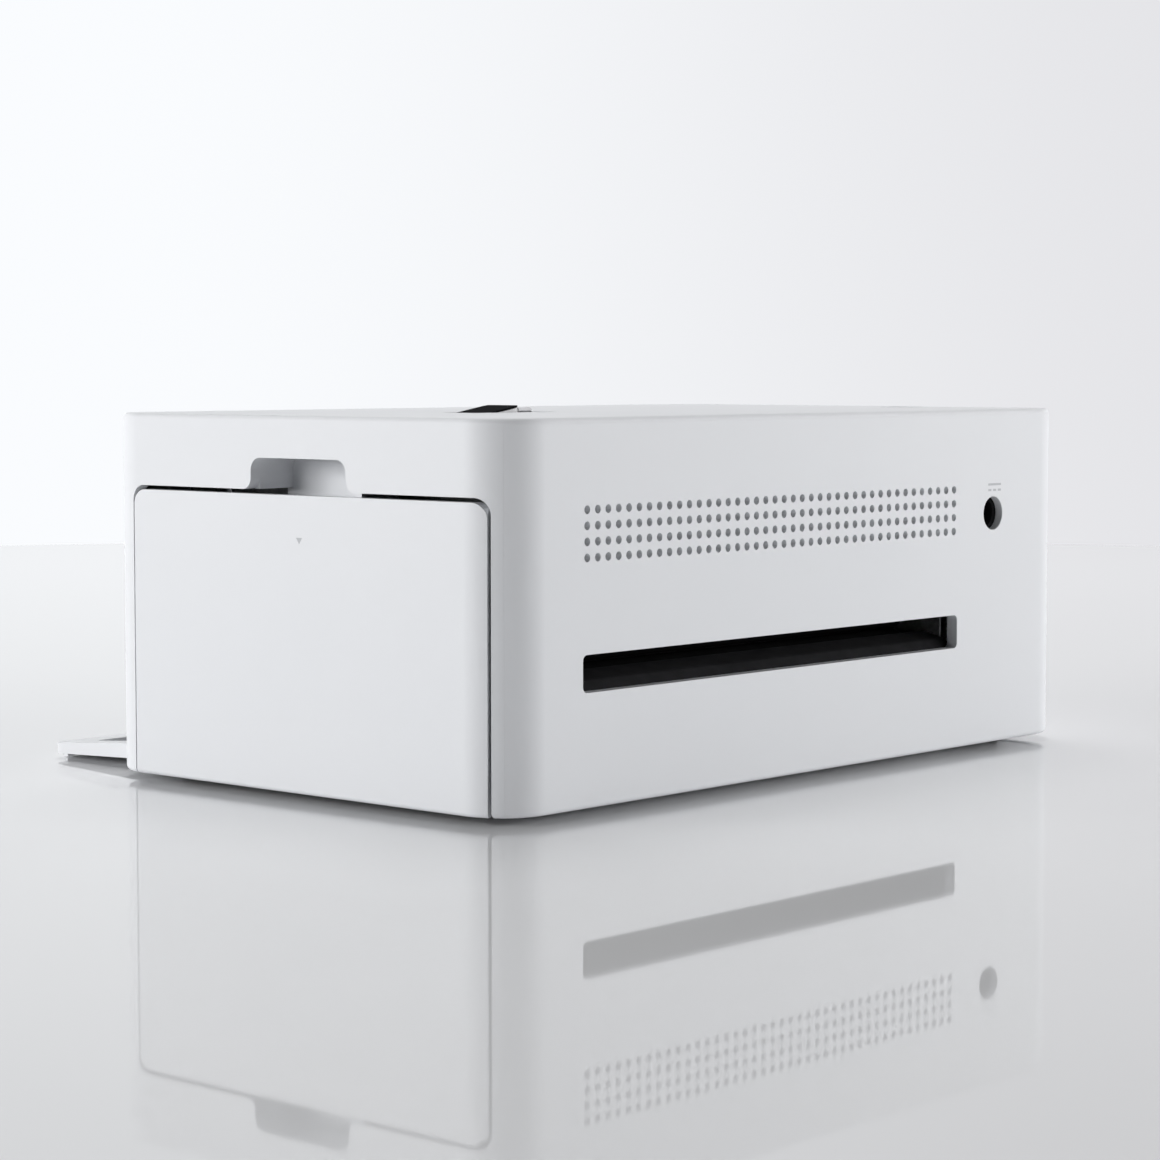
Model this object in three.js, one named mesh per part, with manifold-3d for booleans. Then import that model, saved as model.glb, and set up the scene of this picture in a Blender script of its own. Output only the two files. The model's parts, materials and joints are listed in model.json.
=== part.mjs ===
// Compact photo printer with a side-loading ribbon cartridge, a paper slot at the rear,
// a tray flap at the front and a phone connector that tips up out of the top.
import * as THREE from "three";
import { mergeGeometries, mergeVertices } from "three/addons/utils/BufferGeometryUtils.js";
import Module from "manifold-3d";

const wasm = await Module();
wasm.setup();

// Driving dimensions in millimetres. X runs from the electronics end to the cartridge door,
// Y from the tray flap at the front to the paper slot at the rear, and Z up from the table.
const body = {
  width: 165.8,
  depth: 100,
  height: 65.1,
  footHeight: 1.4,
  cornerRadius: 9.5,
  edgeRadius: 0.9,
  wall: 2.3,
};

// Clearances that the fits share.
const gap = {
  running: 0.3,
  seam: 0.1,
  shaft: 0.25,
  seat: 0.05,
  overrun: 3,
};

// The way of the paper through the machine.
const path = {
  doorMargin: 73.2,
  plane: 24,
  paperWidth: 102,
  paperThickness: 0.3,
};

const slot = {
  width: 108.8,
  height: 6.35,
  floor: 20.83,
  radius: 1,
};

const vents = {
  pitch: 2.66,
  diameter: 1.45,
  topInset: 15.22,
  reach: 53.35,
};
const ventColumns = 41;
const ventRows = 4;
const ventSides = 4;

const jack = {
  endInset: 26.2,
  topInset: 20.15,
  hole: 6.5,
  width: 11,
  height: 11,
  depth: 12,
  socket: 5.4,
  socketDepth: 9,
  pin: 2,
  pinInset: 0.9,
  skin: 1.6,
};

const door = {
  frontInset: 8.9,
  rearInset: 5.09,
  topInset: 13.63,
  cornerRadius: 2.75,
  thickness: 2.2,
  topGap: 0.78,
  rearGap: 0.54,
  hingeInset: 3.3,
  hingeHeight: 5,
  pinRadius: 0.8,
  knuckleRadius: 1.9,
  knuckleWidth: 2.6,
  knuckleInset: 4.2,
  pocket: 1,
  lugWidth: 1.6,
  lugHalf: 1.3,
  rib: 1.2,
  ribRise: 0.5,
  ribInset: 9,
  rearRibInset: 18,
  reliefTop: 8.1,
};

const notch = {
  front: -10.2,
  rear: 13.35,
  topInset: 7.35,
  sink: 2.37,
  depth: 10,
  radius: 2.3,
  flare: 2,
  wall: 1.3,
};

const flap = {
  sideInset: 9.9,
  length: 30,
  hingeInset: 2,
  hingeHeight: 4.2,
  plate: 1.5,
  rim: 1.2,
  rimWidth: 4.5,
  tipRim: 8,
  recessRadius: 1,
  cornerRadius: 3,
  lipLength: 1.2,
  floorGap: 0.1,
  stubRadius: 1,
  stubLength: 1.8,
  earWidth: 3.2,
  earBack: 2.5,
  earTop: 8,
};
const flapDroop = THREE.MathUtils.degToRad(2.36);

const bay = {
  frame: 1.6,
  wall: 1.4,
  halfWidth: 53.5,
  floor: 7,
  top: 25.5,
  railTop: 24.6,
  railDepth: 42,
  roofDepth: 24,
  cornerRadius: 1.5,
  tyreGap: 0.6,
};

const base = {
  thickness: 1.8,
  rise: 0.3,
  inset: 0.2,
  frontSetback: 2.6,
  doorSetback: 7.6,
  ventSlots: 1.6,
  ventLength: 22,
  ventPitch: 4.4,
};
const baseVentCount = 5;

const foot = {
  radius: 5,
  endInset: 14.9,
  sideInset: 12,
  edge: 0.4,
};

const plate = {
  thickness: 1.2,
  halfSpan: 56,
  frontInset: 6,
  rearInset: 5,
  topInset: 8.5,
  window: 0.5,
  chamfer: 3,
  rearSlope: 9,
  rearHeight: 31.85,
};

const crossbar = {
  sheet: 1.2,
  height: 14,
  topInset: 10.5,
  flange: 4.5,
  braceFront: 12,
  braceRear: 36,
};

const spool = {
  supplyY: 23,
  takeUpY: -17,
  rise: 12.5,
  core: 4.2,
  supplyRoll: 9,
  takeUpRoll: 6.5,
  bore: 2.6,
  boreDepth: 6,
  journal: 2.2,
  journalLength: 2,
};

const cartridge = {
  barrelInner: 10,
  barrelWall: 1.3,
  discSeat: 0.65,
  endClearance: 0.9,
  doorClearance: 0.8,
  plate: 2.5,
  bridgeRise: 2.8,
  film: 0.25,
  filmWidth: 104,
  gripWidth: 3,
  gripLength: 12,
  gripRecess: 1.2,
  lidMargin: 0.2,
};
const barrelMouth = THREE.MathUtils.degToRad(65);
const barrelMouthTurn = THREE.MathUtils.degToRad(-42);

const hub = {
  radius: 2.2,
  reach: 3.4,
  flange: 3.4,
  flangeThickness: 0.45,
};

const head = {
  pivotY: -34,
  pivotRise: 28,
  shaft: 2,
  boss: 4,
  armThickness: 1.5,
  armBottomRise: 27,
  armTopRise: 32,
  armInset: 1.7,
  backplate: 1.2,
  backplateRise: 20,
  front: -1,
  rear: 7.6,
  rise: 12.6,
  ceramic: 2.4,
  ceramicStep: 1.2,
  nose: 5,
  noseChamfer: 1.25,
  noseFront: -0.5,
  sinkRise: 25,
  sinkHalf: 51.25,
  fin: 1.1,
  finGap: 1.2,
  finDepth: 5,
};
const finCount = 3;

const platen = {
  y: 4,
  radius: 5.5,
  shaft: 2,
};

const capstan = {
  y: 36,
  radius: 4.5,
  shaft: 2,
};

const pinch = {
  radius: 3,
  shaft: 1.5,
};

const pickup = {
  radius: 7,
  core: 5,
  shaft: 2,
  tyreWidth: 10,
  tyreOffset: 10,
};

const shaftEnds = {
  left: 2,
  right: 1.6,
  pivotLeft: 1,
  pivotRight: 0.8,
  rollerMargin: 1.4,
};

const gearing = {
  module: 0.7,
  width: 4.2,
  offset: 3.3,
  tip: 0.65,
  root: 0.85,
  clearance: 0.25,
  stud: 1.5,
  studEnd: 0.6,
  hub: 3.4,
  hubRise: 1,
};
const capstanTeeth = 24;
const pinionTeeth = 12;
const idlerOneTeeth = 20;
const idlerTwoTeeth = 26;
const takeUpTeeth = 34;
const pickupTeeth = 23;
const toothRootShare = 0.48;
const toothTipShare = 0.2;
const pinionDirection = THREE.MathUtils.degToRad(194);
const idlerDirection = THREE.MathUtils.degToRad(165);
const pickupDirection = THREE.MathUtils.degToRad(200);

const motor = {
  radius: 10,
  length: 17,
  shaft: 1,
  bracket: 1.2,
  bracketStandoff: 2.4,
  bracketMargin: 3,
  post: 2,
  boss: 4,
  bossRise: 1,
};

const board = {
  endInset: 5.9,
  width: 27.5,
  frontInset: 18,
  rearInset: 5.5,
  thickness: 1.6,
  bossRadius: 2.2,
  bossInset: 3.5,
  chip: 12,
  chipInset: 12,
  chipHeight: 1.6,
  capacitor: 4,
  capacitorInset: 12,
  capacitorHeight: 7.5,
  socketWidth: 14,
  socketDepth: 5,
  socketHeight: 5,
};

const fan = {
  offset: 17.7,
  topInset: 19.5,
  size: 25,
  corner: 2.3,
  depth: 8,
  bore: 11.6,
  hub: 4.8,
  strut: 1.6,
  strutDepth: 1.2,
  blade: 1,
  bladeTip: 11,
  rotorDepth: 5.4,
  rotorGap: 0.6,
};
const bladeCount = 7;
const strutCount = 3;
const bladePitch = THREE.MathUtils.degToRad(35);

const dock = {
  offset: 31.9,
  length: 22.6,
  halfWidth: 4.5,
  depth: 5.5,
  wall: 1.5,
  cornerRadius: 1,
  pivotInset: 2.8,
  pivotDepth: 3.5,
  pinRadius: 0.9,
  armHalfWidth: 4,
  coverThickness: 1.1,
};
// The connector's lengths are measured from the hinge end of its window.
const wedge = {
  tail: 1.2,
  bend: 2.3,
  thin: 3.4,
  crestRight: 11.75,
  crestLeft: 12.6,
  nose: 13.4,
  noseRadius: 3,
  crest: 1.25,
  noseRise: 0.62,
  thinDrop: 0.1,
  bendDrop: 0.83,
  tailDrop: 2.5,
  underside: 4.3,
};
const plug = {
  tip: 17.1,
  thickness: 1.2,
  halfWidth: 2.6,
  centreRise: 0.25,
  radius: 0.55,
};

const button = {
  endInset: 9.9,
  y: 17.5,
  radius: 5,
  rise: 0.1,
  flange: 6,
  flangeThickness: 1,
  stem: 1.6,
  length: 5.6,
  switchGap: 0.9,
  switchRadius: 1.8,
  edge: 0.4,
};

const frame = {
  thickness: 1.8,
  setback: 2.4,
  bottom: 7.6,
  topInset: 3.97,
  shelf: 3.6,
  catchRadius: 2.5,
  catchRise: 0.9,
  magnet: 1.2,
  magnetDrop: 7.87,
  magnetInset: 4.6,
  magnetRearInset: 9.2,
  legWidth: 6,
  rearLegInset: 12,
};

const guide = {
  sheet: 1.4,
  drop: 0.4,
  rampBack: -2.2,
  rampFront: -8.4,
  rampBottom: 7,
  exitDrop: 1.6,
  rib: 6,
};

// Rounds are drawn with these numbers of sides.
const roundSides = 18;
const smallSides = 10;
const holeSides = 14;
const arcSteps = 5;
const barrelSteps = 8;
const edgeSteps = 2;

// Places worked out from the driving dimensions.
const halfWidth = body.width / 2;
const halfDepth = body.depth / 2;
const bodyBottom = body.footHeight;
const bodyTop = bodyBottom + body.height;
const ceiling = bodyTop - body.wall;
const innerX = halfWidth - body.wall;
const innerY = halfDepth - body.wall;
const arcX = halfWidth - body.cornerRadius;
const arcY = halfDepth - body.cornerRadius;
const seamAngle = THREE.MathUtils.degToRad(44);
const postReach = THREE.MathUtils.degToRad(100);
const doorFront = -halfDepth + door.frontInset;
const doorRear = halfDepth - door.rearInset;
const doorTop = bodyTop - door.topInset;
const notchTop = bodyTop - notch.topInset;
const notchFloor = doorTop - notch.sink;
const postAngle = Math.asin((doorRear + door.rearGap - arcY) / body.cornerRadius);
const doorEndAngle = Math.asin((doorRear - arcY) / body.cornerRadius);
const panelTop = bodyTop - body.edgeRadius - gap.seam;
const baseBottom = bodyBottom + base.rise;
const baseTop = baseBottom + base.thickness;
const flapY = -halfDepth + flap.hingeInset;
const flapTop = flap.hingeHeight + flap.length;
const openingTop = flapTop + gap.running;
const flapHalfWidth = halfWidth - flap.sideInset;
const openingX = flapHalfWidth + gap.running;
const doorHingeX = halfWidth - door.hingeInset;
const doorInnerX = halfWidth - door.thickness;
const pathCentre = halfWidth - path.doorMargin;
const leftPlate = pathCentre - plate.halfSpan;
const rightPlate = pathCentre + plate.halfSpan;
const plateFront = -halfDepth + plate.frontInset;
const plateRear = halfDepth - plate.rearInset;
const plateTop = bodyTop - plate.topInset;
const crossbarTop = bodyTop - crossbar.topInset;
const leftOuter = leftPlate - plate.thickness;
const rightOuter = rightPlate + plate.thickness;
const gearRight = leftOuter - gearing.offset;
const gearLeft = gearRight - gearing.width;
const barrelOuter = cartridge.barrelInner + cartridge.barrelWall;
const cartridgeLeft = leftPlate + cartridge.endClearance;
const cartridgeRight = doorInnerX - cartridge.doorClearance;
const frameOuter = doorInnerX - frame.setback;
const frameInner = frameOuter - frame.thickness;
const capstanZ = path.plane - capstan.radius;
const platenZ = path.plane - platen.radius;
const pinchZ = path.plane + path.paperThickness + pinch.radius;
const rollerHalf = path.paperWidth / 2 + shaftEnds.rollerMargin;
const spoolZ = path.plane + spool.rise;
const headPivotZ = path.plane + head.pivotRise;
const headBottom = path.plane + head.rise;
const headArmTop = path.plane + head.armTopRise;
const jackX = -halfWidth + jack.endInset;
const jackZ = bodyTop - jack.topInset;
const boardLeft = -halfWidth + board.endInset;
const boardRight = boardLeft + board.width;
const boardFront = -halfDepth + board.frontInset;
const boardRear = halfDepth - board.rearInset;
const boardBottom = jackZ + jack.height / 2;
const boardTop = boardBottom + board.thickness;
const buttonX = -halfWidth + button.endInset;
const stemEnd = bodyTop - button.length;
const fanX = pathCentre - fan.offset;
const fanZ = bodyTop - fan.topInset;
const dockRight = pathCentre + dock.offset;
const dockLeft = dockRight - dock.length;
const dockPivotX = dockRight - dock.pivotInset;
const dockPivotZ = bodyTop - dock.pivotDepth;
const dockFloor = bodyTop - dock.depth;
const magnetZ = doorTop - frame.magnetDrop;

// Turn a closed geometry into a solid by keeping only its positions and joining equal ones.
function solid(geometry) {
  const bare = geometry.clone();
  bare.deleteAttribute("normal");
  bare.deleteAttribute("uv");
  const merged = mergeVertices(bare);
  const index = merged.index.array;
  const triangles = [];
  for (let i = 0; i < index.length; i += 3) {
    const [a, b, c] = index.slice(i, i + 3);
    if (a !== b && b !== c && c !== a) triangles.push(a, b, c);
  }
  const mesh = new wasm.Mesh({
    numProp: 3,
    vertProperties: merged.attributes.position.array,
    triVerts: Uint32Array.from(triangles),
  });
  return new wasm.Manifold(mesh);
}

// Turn a solid back into a geometry with flat faces.
function geometryOf(form) {
  const mesh = form.getMesh();
  const geometry = new THREE.BufferGeometry();
  geometry.setAttribute("position", new THREE.BufferAttribute(mesh.vertProperties, 3));
  geometry.setIndex(new THREE.BufferAttribute(mesh.triVerts, 1));
  const flat = geometry.toNonIndexed();
  flat.computeVertexNormals();
  return flat;
}

function join(first, ...others) {
  return others.reduce((sum, other) => sum.add(other), first);
}

function cut(first, ...others) {
  return others.reduce((rest, other) => rest.subtract(other), first);
}

function box(x0, x1, y0, y1, z0, z1) {
  const geometry = new THREE.BoxGeometry(x1 - x0, y1 - y0, z1 - z0);
  geometry.translate((x0 + x1) / 2, (y0 + y1) / 2, (z0 + z1) / 2);
  return solid(geometry);
}

function rodX(radius, x0, x1, y = 0, z = 0, sides = roundSides) {
  const geometry = new THREE.CylinderGeometry(radius, radius, x1 - x0, sides);
  geometry.rotateZ(-Math.PI / 2);
  geometry.translate((x0 + x1) / 2, y, z);
  return solid(geometry);
}

function rodY(radius, y0, y1, x = 0, z = 0, sides = roundSides) {
  const geometry = new THREE.CylinderGeometry(radius, radius, y1 - y0, sides);
  geometry.translate(x, (y0 + y1) / 2, z);
  return solid(geometry);
}

function rodZ(radius, z0, z1, x = 0, y = 0, sides = roundSides) {
  const geometry = new THREE.CylinderGeometry(radius, radius, z1 - z0, sides);
  geometry.rotateX(Math.PI / 2);
  geometry.translate(x, y, (z0 + z1) / 2);
  return solid(geometry);
}

function extrusion(shape, length, steps = arcSteps) {
  return new THREE.ExtrudeGeometry(shape, { depth: length, bevelEnabled: false, curveSegments: steps });
}

// A prism along X of a shape drawn in Y and Z.
function prismX(shape, x0, x1, steps) {
  const geometry = extrusion(shape, x1 - x0, steps);
  const turn = new THREE.Matrix4().makeBasis(
    new THREE.Vector3(0, 1, 0),
    new THREE.Vector3(0, 0, 1),
    new THREE.Vector3(1, 0, 0),
  );
  geometry.applyMatrix4(turn);
  geometry.translate(x0, 0, 0);
  return solid(geometry);
}

// A prism along Y of a shape drawn in X and Z.
function prismY(shape, y0, y1, steps) {
  const geometry = extrusion(shape, y1 - y0, steps);
  geometry.rotateX(Math.PI / 2);
  geometry.translate(0, y1, 0);
  return solid(geometry);
}

// A prism along Z of a shape drawn in X and Y.
function prismZ(shape, z0, z1, steps) {
  const geometry = extrusion(shape, z1 - z0, steps);
  geometry.translate(0, 0, z0);
  return solid(geometry);
}

// A rectangle with its own radius for the lower pair and the upper pair of corners.
function roundedRectangle(x0, x1, y0, y1, lower, upper = lower) {
  const shape = new THREE.Shape();
  shape.moveTo(x0 + lower, y0);
  shape.lineTo(x1 - lower, y0);
  if (lower > 0) shape.absarc(x1 - lower, y0 + lower, lower, -Math.PI / 2, 0, false);
  shape.lineTo(x1, y1 - upper);
  if (upper > 0) shape.absarc(x1 - upper, y1 - upper, upper, 0, Math.PI / 2, false);
  shape.lineTo(x0 + upper, y1);
  if (upper > 0) shape.absarc(x0 + upper, y1 - upper, upper, Math.PI / 2, Math.PI, false);
  shape.lineTo(x0, y0 + lower);
  if (lower > 0) shape.absarc(x0 + lower, y0 + lower, lower, Math.PI, Math.PI * 1.5, false);
  return shape;
}

function polygon(points) {
  return new THREE.Shape(points.map(([x, y]) => new THREE.Vector2(x, y)));
}

// A stretch of a ring about one centre, from a start angle round to an end angle.
function ringSector(x, y, inner, outer, start, end) {
  const shape = new THREE.Shape();
  shape.absarc(x, y, outer, start, end, false);
  shape.absarc(x, y, inner, end, start, true);
  shape.closePath();
  return shape;
}

// Materials by name: colour, roughness and metalness.
const looks = {
  white: { color: 0xe8e9ea, roughness: 0.34, metalness: 0 },
  darkPlastic: { color: 0x2a2c2f, roughness: 0.6, metalness: 0 },
  blackGloss: { color: 0x0d0d0f, roughness: 0.25, metalness: 0 },
  rubber: { color: 0x1c1c1d, roughness: 0.85, metalness: 0 },
  steel: { color: 0xb4b8bb, roughness: 0.38, metalness: 1 },
  brightSteel: { color: 0xcfd2d4, roughness: 0.2, metalness: 1 },
  aluminium: { color: 0xc7cacc, roughness: 0.45, metalness: 1 },
  motorCan: { color: 0x9fa3a6, roughness: 0.4, metalness: 1 },
  acetal: { color: 0xf0eee6, roughness: 0.45, metalness: 0 },
  circuit: { color: 0x1d5b38, roughness: 0.5, metalness: 0 },
  ribbon: { color: 0x3a2f55, roughness: 0.2, metalness: 0 },
  cartridgeGrey: { color: 0x6d7277, roughness: 0.5, metalness: 0 },
};

const printer = new THREE.Group();

function add(name, form, look, place = [0, 0, 0], parent = printer) {
  const mesh = new THREE.Mesh(geometryOf(form), new THREE.MeshStandardMaterial(looks[look]));
  mesh.name = name;
  mesh.position.set(...place);
  parent.add(mesh);
  return mesh;
}

// The plan outline of the case, drawn in by an inset.
function caseOutline(inset) {
  return roundedRectangle(
    -halfWidth + inset,
    halfWidth - inset,
    -halfDepth + inset,
    halfDepth - inset,
    body.cornerRadius - inset,
  );
}

// The full outside of the case as one solid, with rounded top and bottom edges.
function caseBlock() {
  const geometry = new THREE.ExtrudeGeometry(caseOutline(body.edgeRadius), {
    depth: body.height - body.edgeRadius * 2,
    bevelThickness: body.edgeRadius,
    bevelSize: body.edgeRadius,
    bevelSegments: edgeSteps,
    curveSegments: arcSteps,
  });
  geometry.translate(0, 0, bodyBottom + body.edgeRadius);
  return solid(geometry);
}

const block = caseBlock();

// The stretch of outer wall that the rear panel takes, less a seam all round.
function rearWallZone(seam) {
  const reach = body.cornerRadius + gap.overrun;
  const startX = arcX - seam * Math.sin(seamAngle);
  const startY = arcY + seam * Math.cos(seamAngle);
  const endX = startX + reach * Math.cos(seamAngle);
  const endY = startY + reach * Math.sin(seamAngle);
  const far = halfDepth + gap.overrun;
  const plan = polygon([
    [-startX, startY],
    [startX, startY],
    [endX, endY],
    [endX, far],
    [-endX, far],
    [-endX, endY],
  ]);
  const zone = prismZ(plan, bodyBottom - gap.overrun, panelTop - seam);
  return cut(zone, prismZ(caseOutline(body.wall - seam), -gap.overrun, bodyTop + gap.overrun));
}

// The door opening. Its rear edge is square to the round corner above the hinge relief.
function doorOpening() {
  const shape = roundedRectangle(
    doorFront - gap.running,
    doorRear + door.rearGap,
    -gap.overrun,
    doorTop + door.topGap,
    0,
    door.cornerRadius,
  );
  const opening = prismX(shape, arcX + body.wall, halfWidth + gap.overrun);
  const kept = ringSector(arcX, arcY, gap.seat, body.cornerRadius + gap.overrun, postAngle, Math.PI / 2);
  return cut(opening, prismZ(kept, door.reliefTop, bodyTop));
}

// Finger notch: straight sides, round top corners and ends that flare out at the door's edge.
function notchCut() {
  const { front, rear, radius, flare } = notch;
  const low = doorTop + door.topGap;
  const shape = new THREE.Shape();
  shape.moveTo(front - flare, doorTop);
  shape.lineTo(rear + flare, doorTop);
  shape.lineTo(rear + flare, low);
  shape.absarc(rear + flare, low + flare, flare, -Math.PI / 2, -Math.PI, true);
  shape.lineTo(rear, notchTop - radius);
  shape.absarc(rear - radius, notchTop - radius, radius, 0, Math.PI / 2, false);
  shape.lineTo(front + radius, notchTop);
  shape.absarc(front + radius, notchTop - radius, radius, Math.PI / 2, Math.PI, false);
  shape.lineTo(front, low + flare);
  shape.absarc(front - flare, low + flare, flare, 0, -Math.PI / 2, true);
  const mouth = prismX(shape, innerX - gap.running, halfWidth + gap.overrun, edgeSteps);
  const room = roundedRectangle(front, rear, notchFloor, notchTop, 0, radius);
  return join(mouth, prismX(room, halfWidth - notch.depth, halfWidth + gap.overrun, edgeSteps));
}

// The walls of the pocket behind the finger notch.
function notchPocket() {
  const shape = roundedRectangle(
    notch.front - notch.wall,
    notch.rear + notch.wall,
    notchFloor - notch.wall,
    notchTop + notch.wall,
    0,
    notch.radius + notch.wall,
  );
  const outside = prismX(shape, halfWidth - notch.depth - notch.wall, innerX + gap.seam, edgeSteps);
  const doorRoom = box(
    doorInnerX - gap.running,
    halfWidth,
    notch.front - notch.wall - gap.overrun,
    notch.rear + notch.wall + gap.overrun,
    -gap.overrun,
    doorTop + door.topGap,
  );
  return cut(outside, doorRoom);
}

// Flange inside a rear corner that the end of the rear panel lies on.
function cornerFlange(side) {
  const tucked = body.cornerRadius - body.wall - gap.seam;
  const inner = tucked - body.wall / 2;
  const start = side > 0 ? postAngle : postReach;
  const end = side > 0 ? Math.PI - postReach : Math.PI;
  const rootStart = side > 0 ? postAngle : Math.PI - seamAngle + gap.seat;
  const rootEnd = side > 0 ? seamAngle - gap.seat : Math.PI;
  const low = side > 0 ? door.reliefTop : baseTop;
  const flange = ringSector(side * arcX, arcY, inner, tucked, start, end);
  const root = ringSector(side * arcX, arcY, inner, tucked + body.wall / 2, rootStart, rootEnd);
  return join(prismZ(flange, low, ceiling), prismZ(root, low, ceiling));
}

function boardBosses() {
  const spots = boardBossSpots();
  const rods = spots.map(([x, y]) => rodZ(board.bossRadius, boardTop, ceiling + gap.seam, x, y, smallSides));
  return join(...rods);
}

function boardBossSpots() {
  const left = boardLeft + board.bossInset;
  const right = boardRight - board.bossInset;
  const front = boardFront + board.bossInset;
  const rear = boardRear - board.bossInset;
  return [[left, front], [right, front], [left, rear], [right, rear]];
}

// Ears inside the front corners that take the stub pins of the tray flap.
function flapEar(side) {
  const near = side * openingX;
  const far = side * (openingX + flap.earWidth);
  const ear = box(
    Math.min(near, far),
    Math.max(near, far),
    -innerY - body.wall / 2,
    -innerY + flap.earBack,
    bodyBottom + body.edgeRadius,
    flap.earTop,
  );
  return ear;
}

function bodyShell() {
  const inside = prismZ(caseOutline(body.wall), bodyBottom - gap.overrun, ceiling);
  let shell = cut(block, inside, rearWallZone(0), doorOpening());
  const flapWindow = box(
    -openingX,
    openingX,
    -halfDepth - gap.overrun,
    -innerY + gap.seam,
    bodyBottom - gap.overrun,
    openingTop,
  );
  shell = cut(shell, flapWindow);
  shell = join(shell, cornerFlange(1), cornerFlange(-1), notchPocket(), boardBosses());
  shell = join(shell, flapEar(1), flapEar(-1));
  const dockWindow = prismZ(
    roundedRectangle(dockLeft, dockRight, -dock.halfWidth, dock.halfWidth, dock.cornerRadius),
    ceiling - gap.overrun,
    bodyTop + gap.overrun,
  );
  const buttonHole = rodZ(
    button.radius + gap.running,
    ceiling - gap.overrun,
    bodyTop + gap.overrun,
    buttonX,
    button.y,
  );
  const flapPins = rodX(
    flap.stubRadius + gap.shaft,
    -openingX - flap.stubLength,
    openingX + flap.stubLength,
    flapY,
    flap.hingeHeight,
    smallSides,
  );
  return cut(shell, dockWindow, buttonHole, flapPins, notchCut());
}

function ventHoles() {
  const holes = [];
  const radius = vents.diameter / 2;
  const firstX = pathCentre + vents.reach;
  const firstZ = bodyTop - vents.topInset;
  for (let row = 0; row < ventRows; row += 1) {
    for (let column = 0; column < ventColumns; column += 1) {
      const hole = new THREE.CylinderGeometry(radius, radius, body.wall + gap.overrun, ventSides);
      hole.translate(firstX - column * vents.pitch, innerY, firstZ - row * vents.pitch);
      holes.push(hole);
    }
  }
  return solid(mergeGeometries(holes));
}

function rearPanel() {
  const slotLeft = pathCentre - slot.width / 2;
  const slotRight = pathCentre + slot.width / 2;
  const slotShape = roundedRectangle(slotLeft, slotRight, slot.floor, slot.floor + slot.height, slot.radius);
  const slotHole = prismY(slotShape, innerY - gap.overrun, halfDepth + gap.overrun);
  const jackHole = rodY(jack.hole / 2, innerY - gap.overrun, halfDepth + gap.overrun, jackX, jackZ);
  const jackSeat = box(
    jackX - jack.width / 2 - gap.running,
    jackX + jack.width / 2 + gap.running,
    innerY - gap.overrun,
    halfDepth - jack.skin,
    jackZ - jack.height / 2 - gap.running,
    boardTop + gap.running,
  );
  const panel = block.intersect(rearWallZone(gap.seam));
  return cut(panel, ventHoles(), slotHole, jackHole, jackSeat);
}

function bottomCover() {
  const inset = body.wall + base.inset;
  const plan = prismZ(caseOutline(inset), baseBottom, baseTop);
  const trimmed = plan.intersect(
    box(
      -halfWidth,
      halfWidth - base.doorSetback,
      -innerY + base.frontSetback,
      innerY - gap.seam * 2,
      0,
      bodyTop,
    ),
  );
  const slots = [];
  const firstVent = -((baseVentCount - 1) * base.ventPitch) / 2;
  for (let i = 0; i < baseVentCount; i += 1) {
    const x = pathCentre + firstVent + i * base.ventPitch;
    const shape = roundedRectangle(
      x - base.ventSlots / 2,
      x + base.ventSlots / 2,
      -base.ventLength / 2,
      base.ventLength / 2,
      base.ventSlots / 2,
    );
    slots.push(prismZ(shape, 0, baseTop + gap.overrun, edgeSteps));
  }
  return cut(trimmed, ...slots);
}

// A rubber foot: a short disc with its lower edge broken.
function rubberFoot() {
  const profile = [
    [0, 0],
    [foot.radius - foot.edge, 0],
    [foot.radius, foot.edge],
    [foot.radius, baseBottom],
    [0, baseBottom],
  ];
  const geometry = new THREE.LatheGeometry(profile.map(([r, z]) => new THREE.Vector2(r, z)), holeSides);
  geometry.rotateX(Math.PI / 2);
  return solid(geometry);
}

// Tray bay: a front frame that fills the flap opening, side rails and a short roof.
function trayBay() {
  const innerFace = flapY - flap.hingeInset + flap.plate + flap.rim;
  const front = innerFace + gap.running;
  const back = front + bay.frame;
  const sweepTop = flap.hingeHeight + innerFace - flapY + gap.running;
  const railFront = flapY + flap.hingeInset + gap.running;
  const left = pathCentre - bay.halfWidth;
  const right = pathCentre + bay.halfWidth;
  const roofBack = -halfDepth + bay.roofDepth;
  const railBack = -halfDepth + bay.railDepth;
  const roofTop = bay.top + bay.wall;
  const face = box(-openingX + gap.running, openingX - gap.running, front, back, sweepTop, openingTop);
  const rails = [left - bay.wall, right].flatMap((x) => [
    box(x, x + bay.wall, railFront, roofBack, baseTop, roofTop),
    box(x, x + bay.wall, railFront, railBack, baseTop, bay.railTop),
  ]);
  const roof = box(left - bay.wall, right + bay.wall, front, roofBack, bay.top, roofTop);
  const mouthShape = roundedRectangle(left, right, bay.floor, bay.top, bay.cornerRadius);
  const mouth = prismY(mouthShape, front - gap.overrun, back + gap.seam, edgeSteps);
  const tyreReach = pickup.tyreOffset + pickup.tyreWidth / 2 + bay.tyreGap;
  const tyreSlot = box(
    pathCentre - tyreReach,
    pathCentre + tyreReach,
    train.pickupGear.y - pickup.radius - gap.running,
    train.pickupGear.y + pickup.radius + gap.running,
    bay.floor,
    roofTop + gap.overrun,
  );
  const gearRoom = rodX(
    pitchRadius(pickupTeeth) + gearing.tip + gap.running,
    gearLeft - gap.running,
    gearRight + gearing.hubRise + gap.running,
    train.pickupGear.y,
    train.pickupGear.z,
  );
  return cut(join(face, ...rails, roof), mouth, tyreSlot, gearRoom);
}

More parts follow.
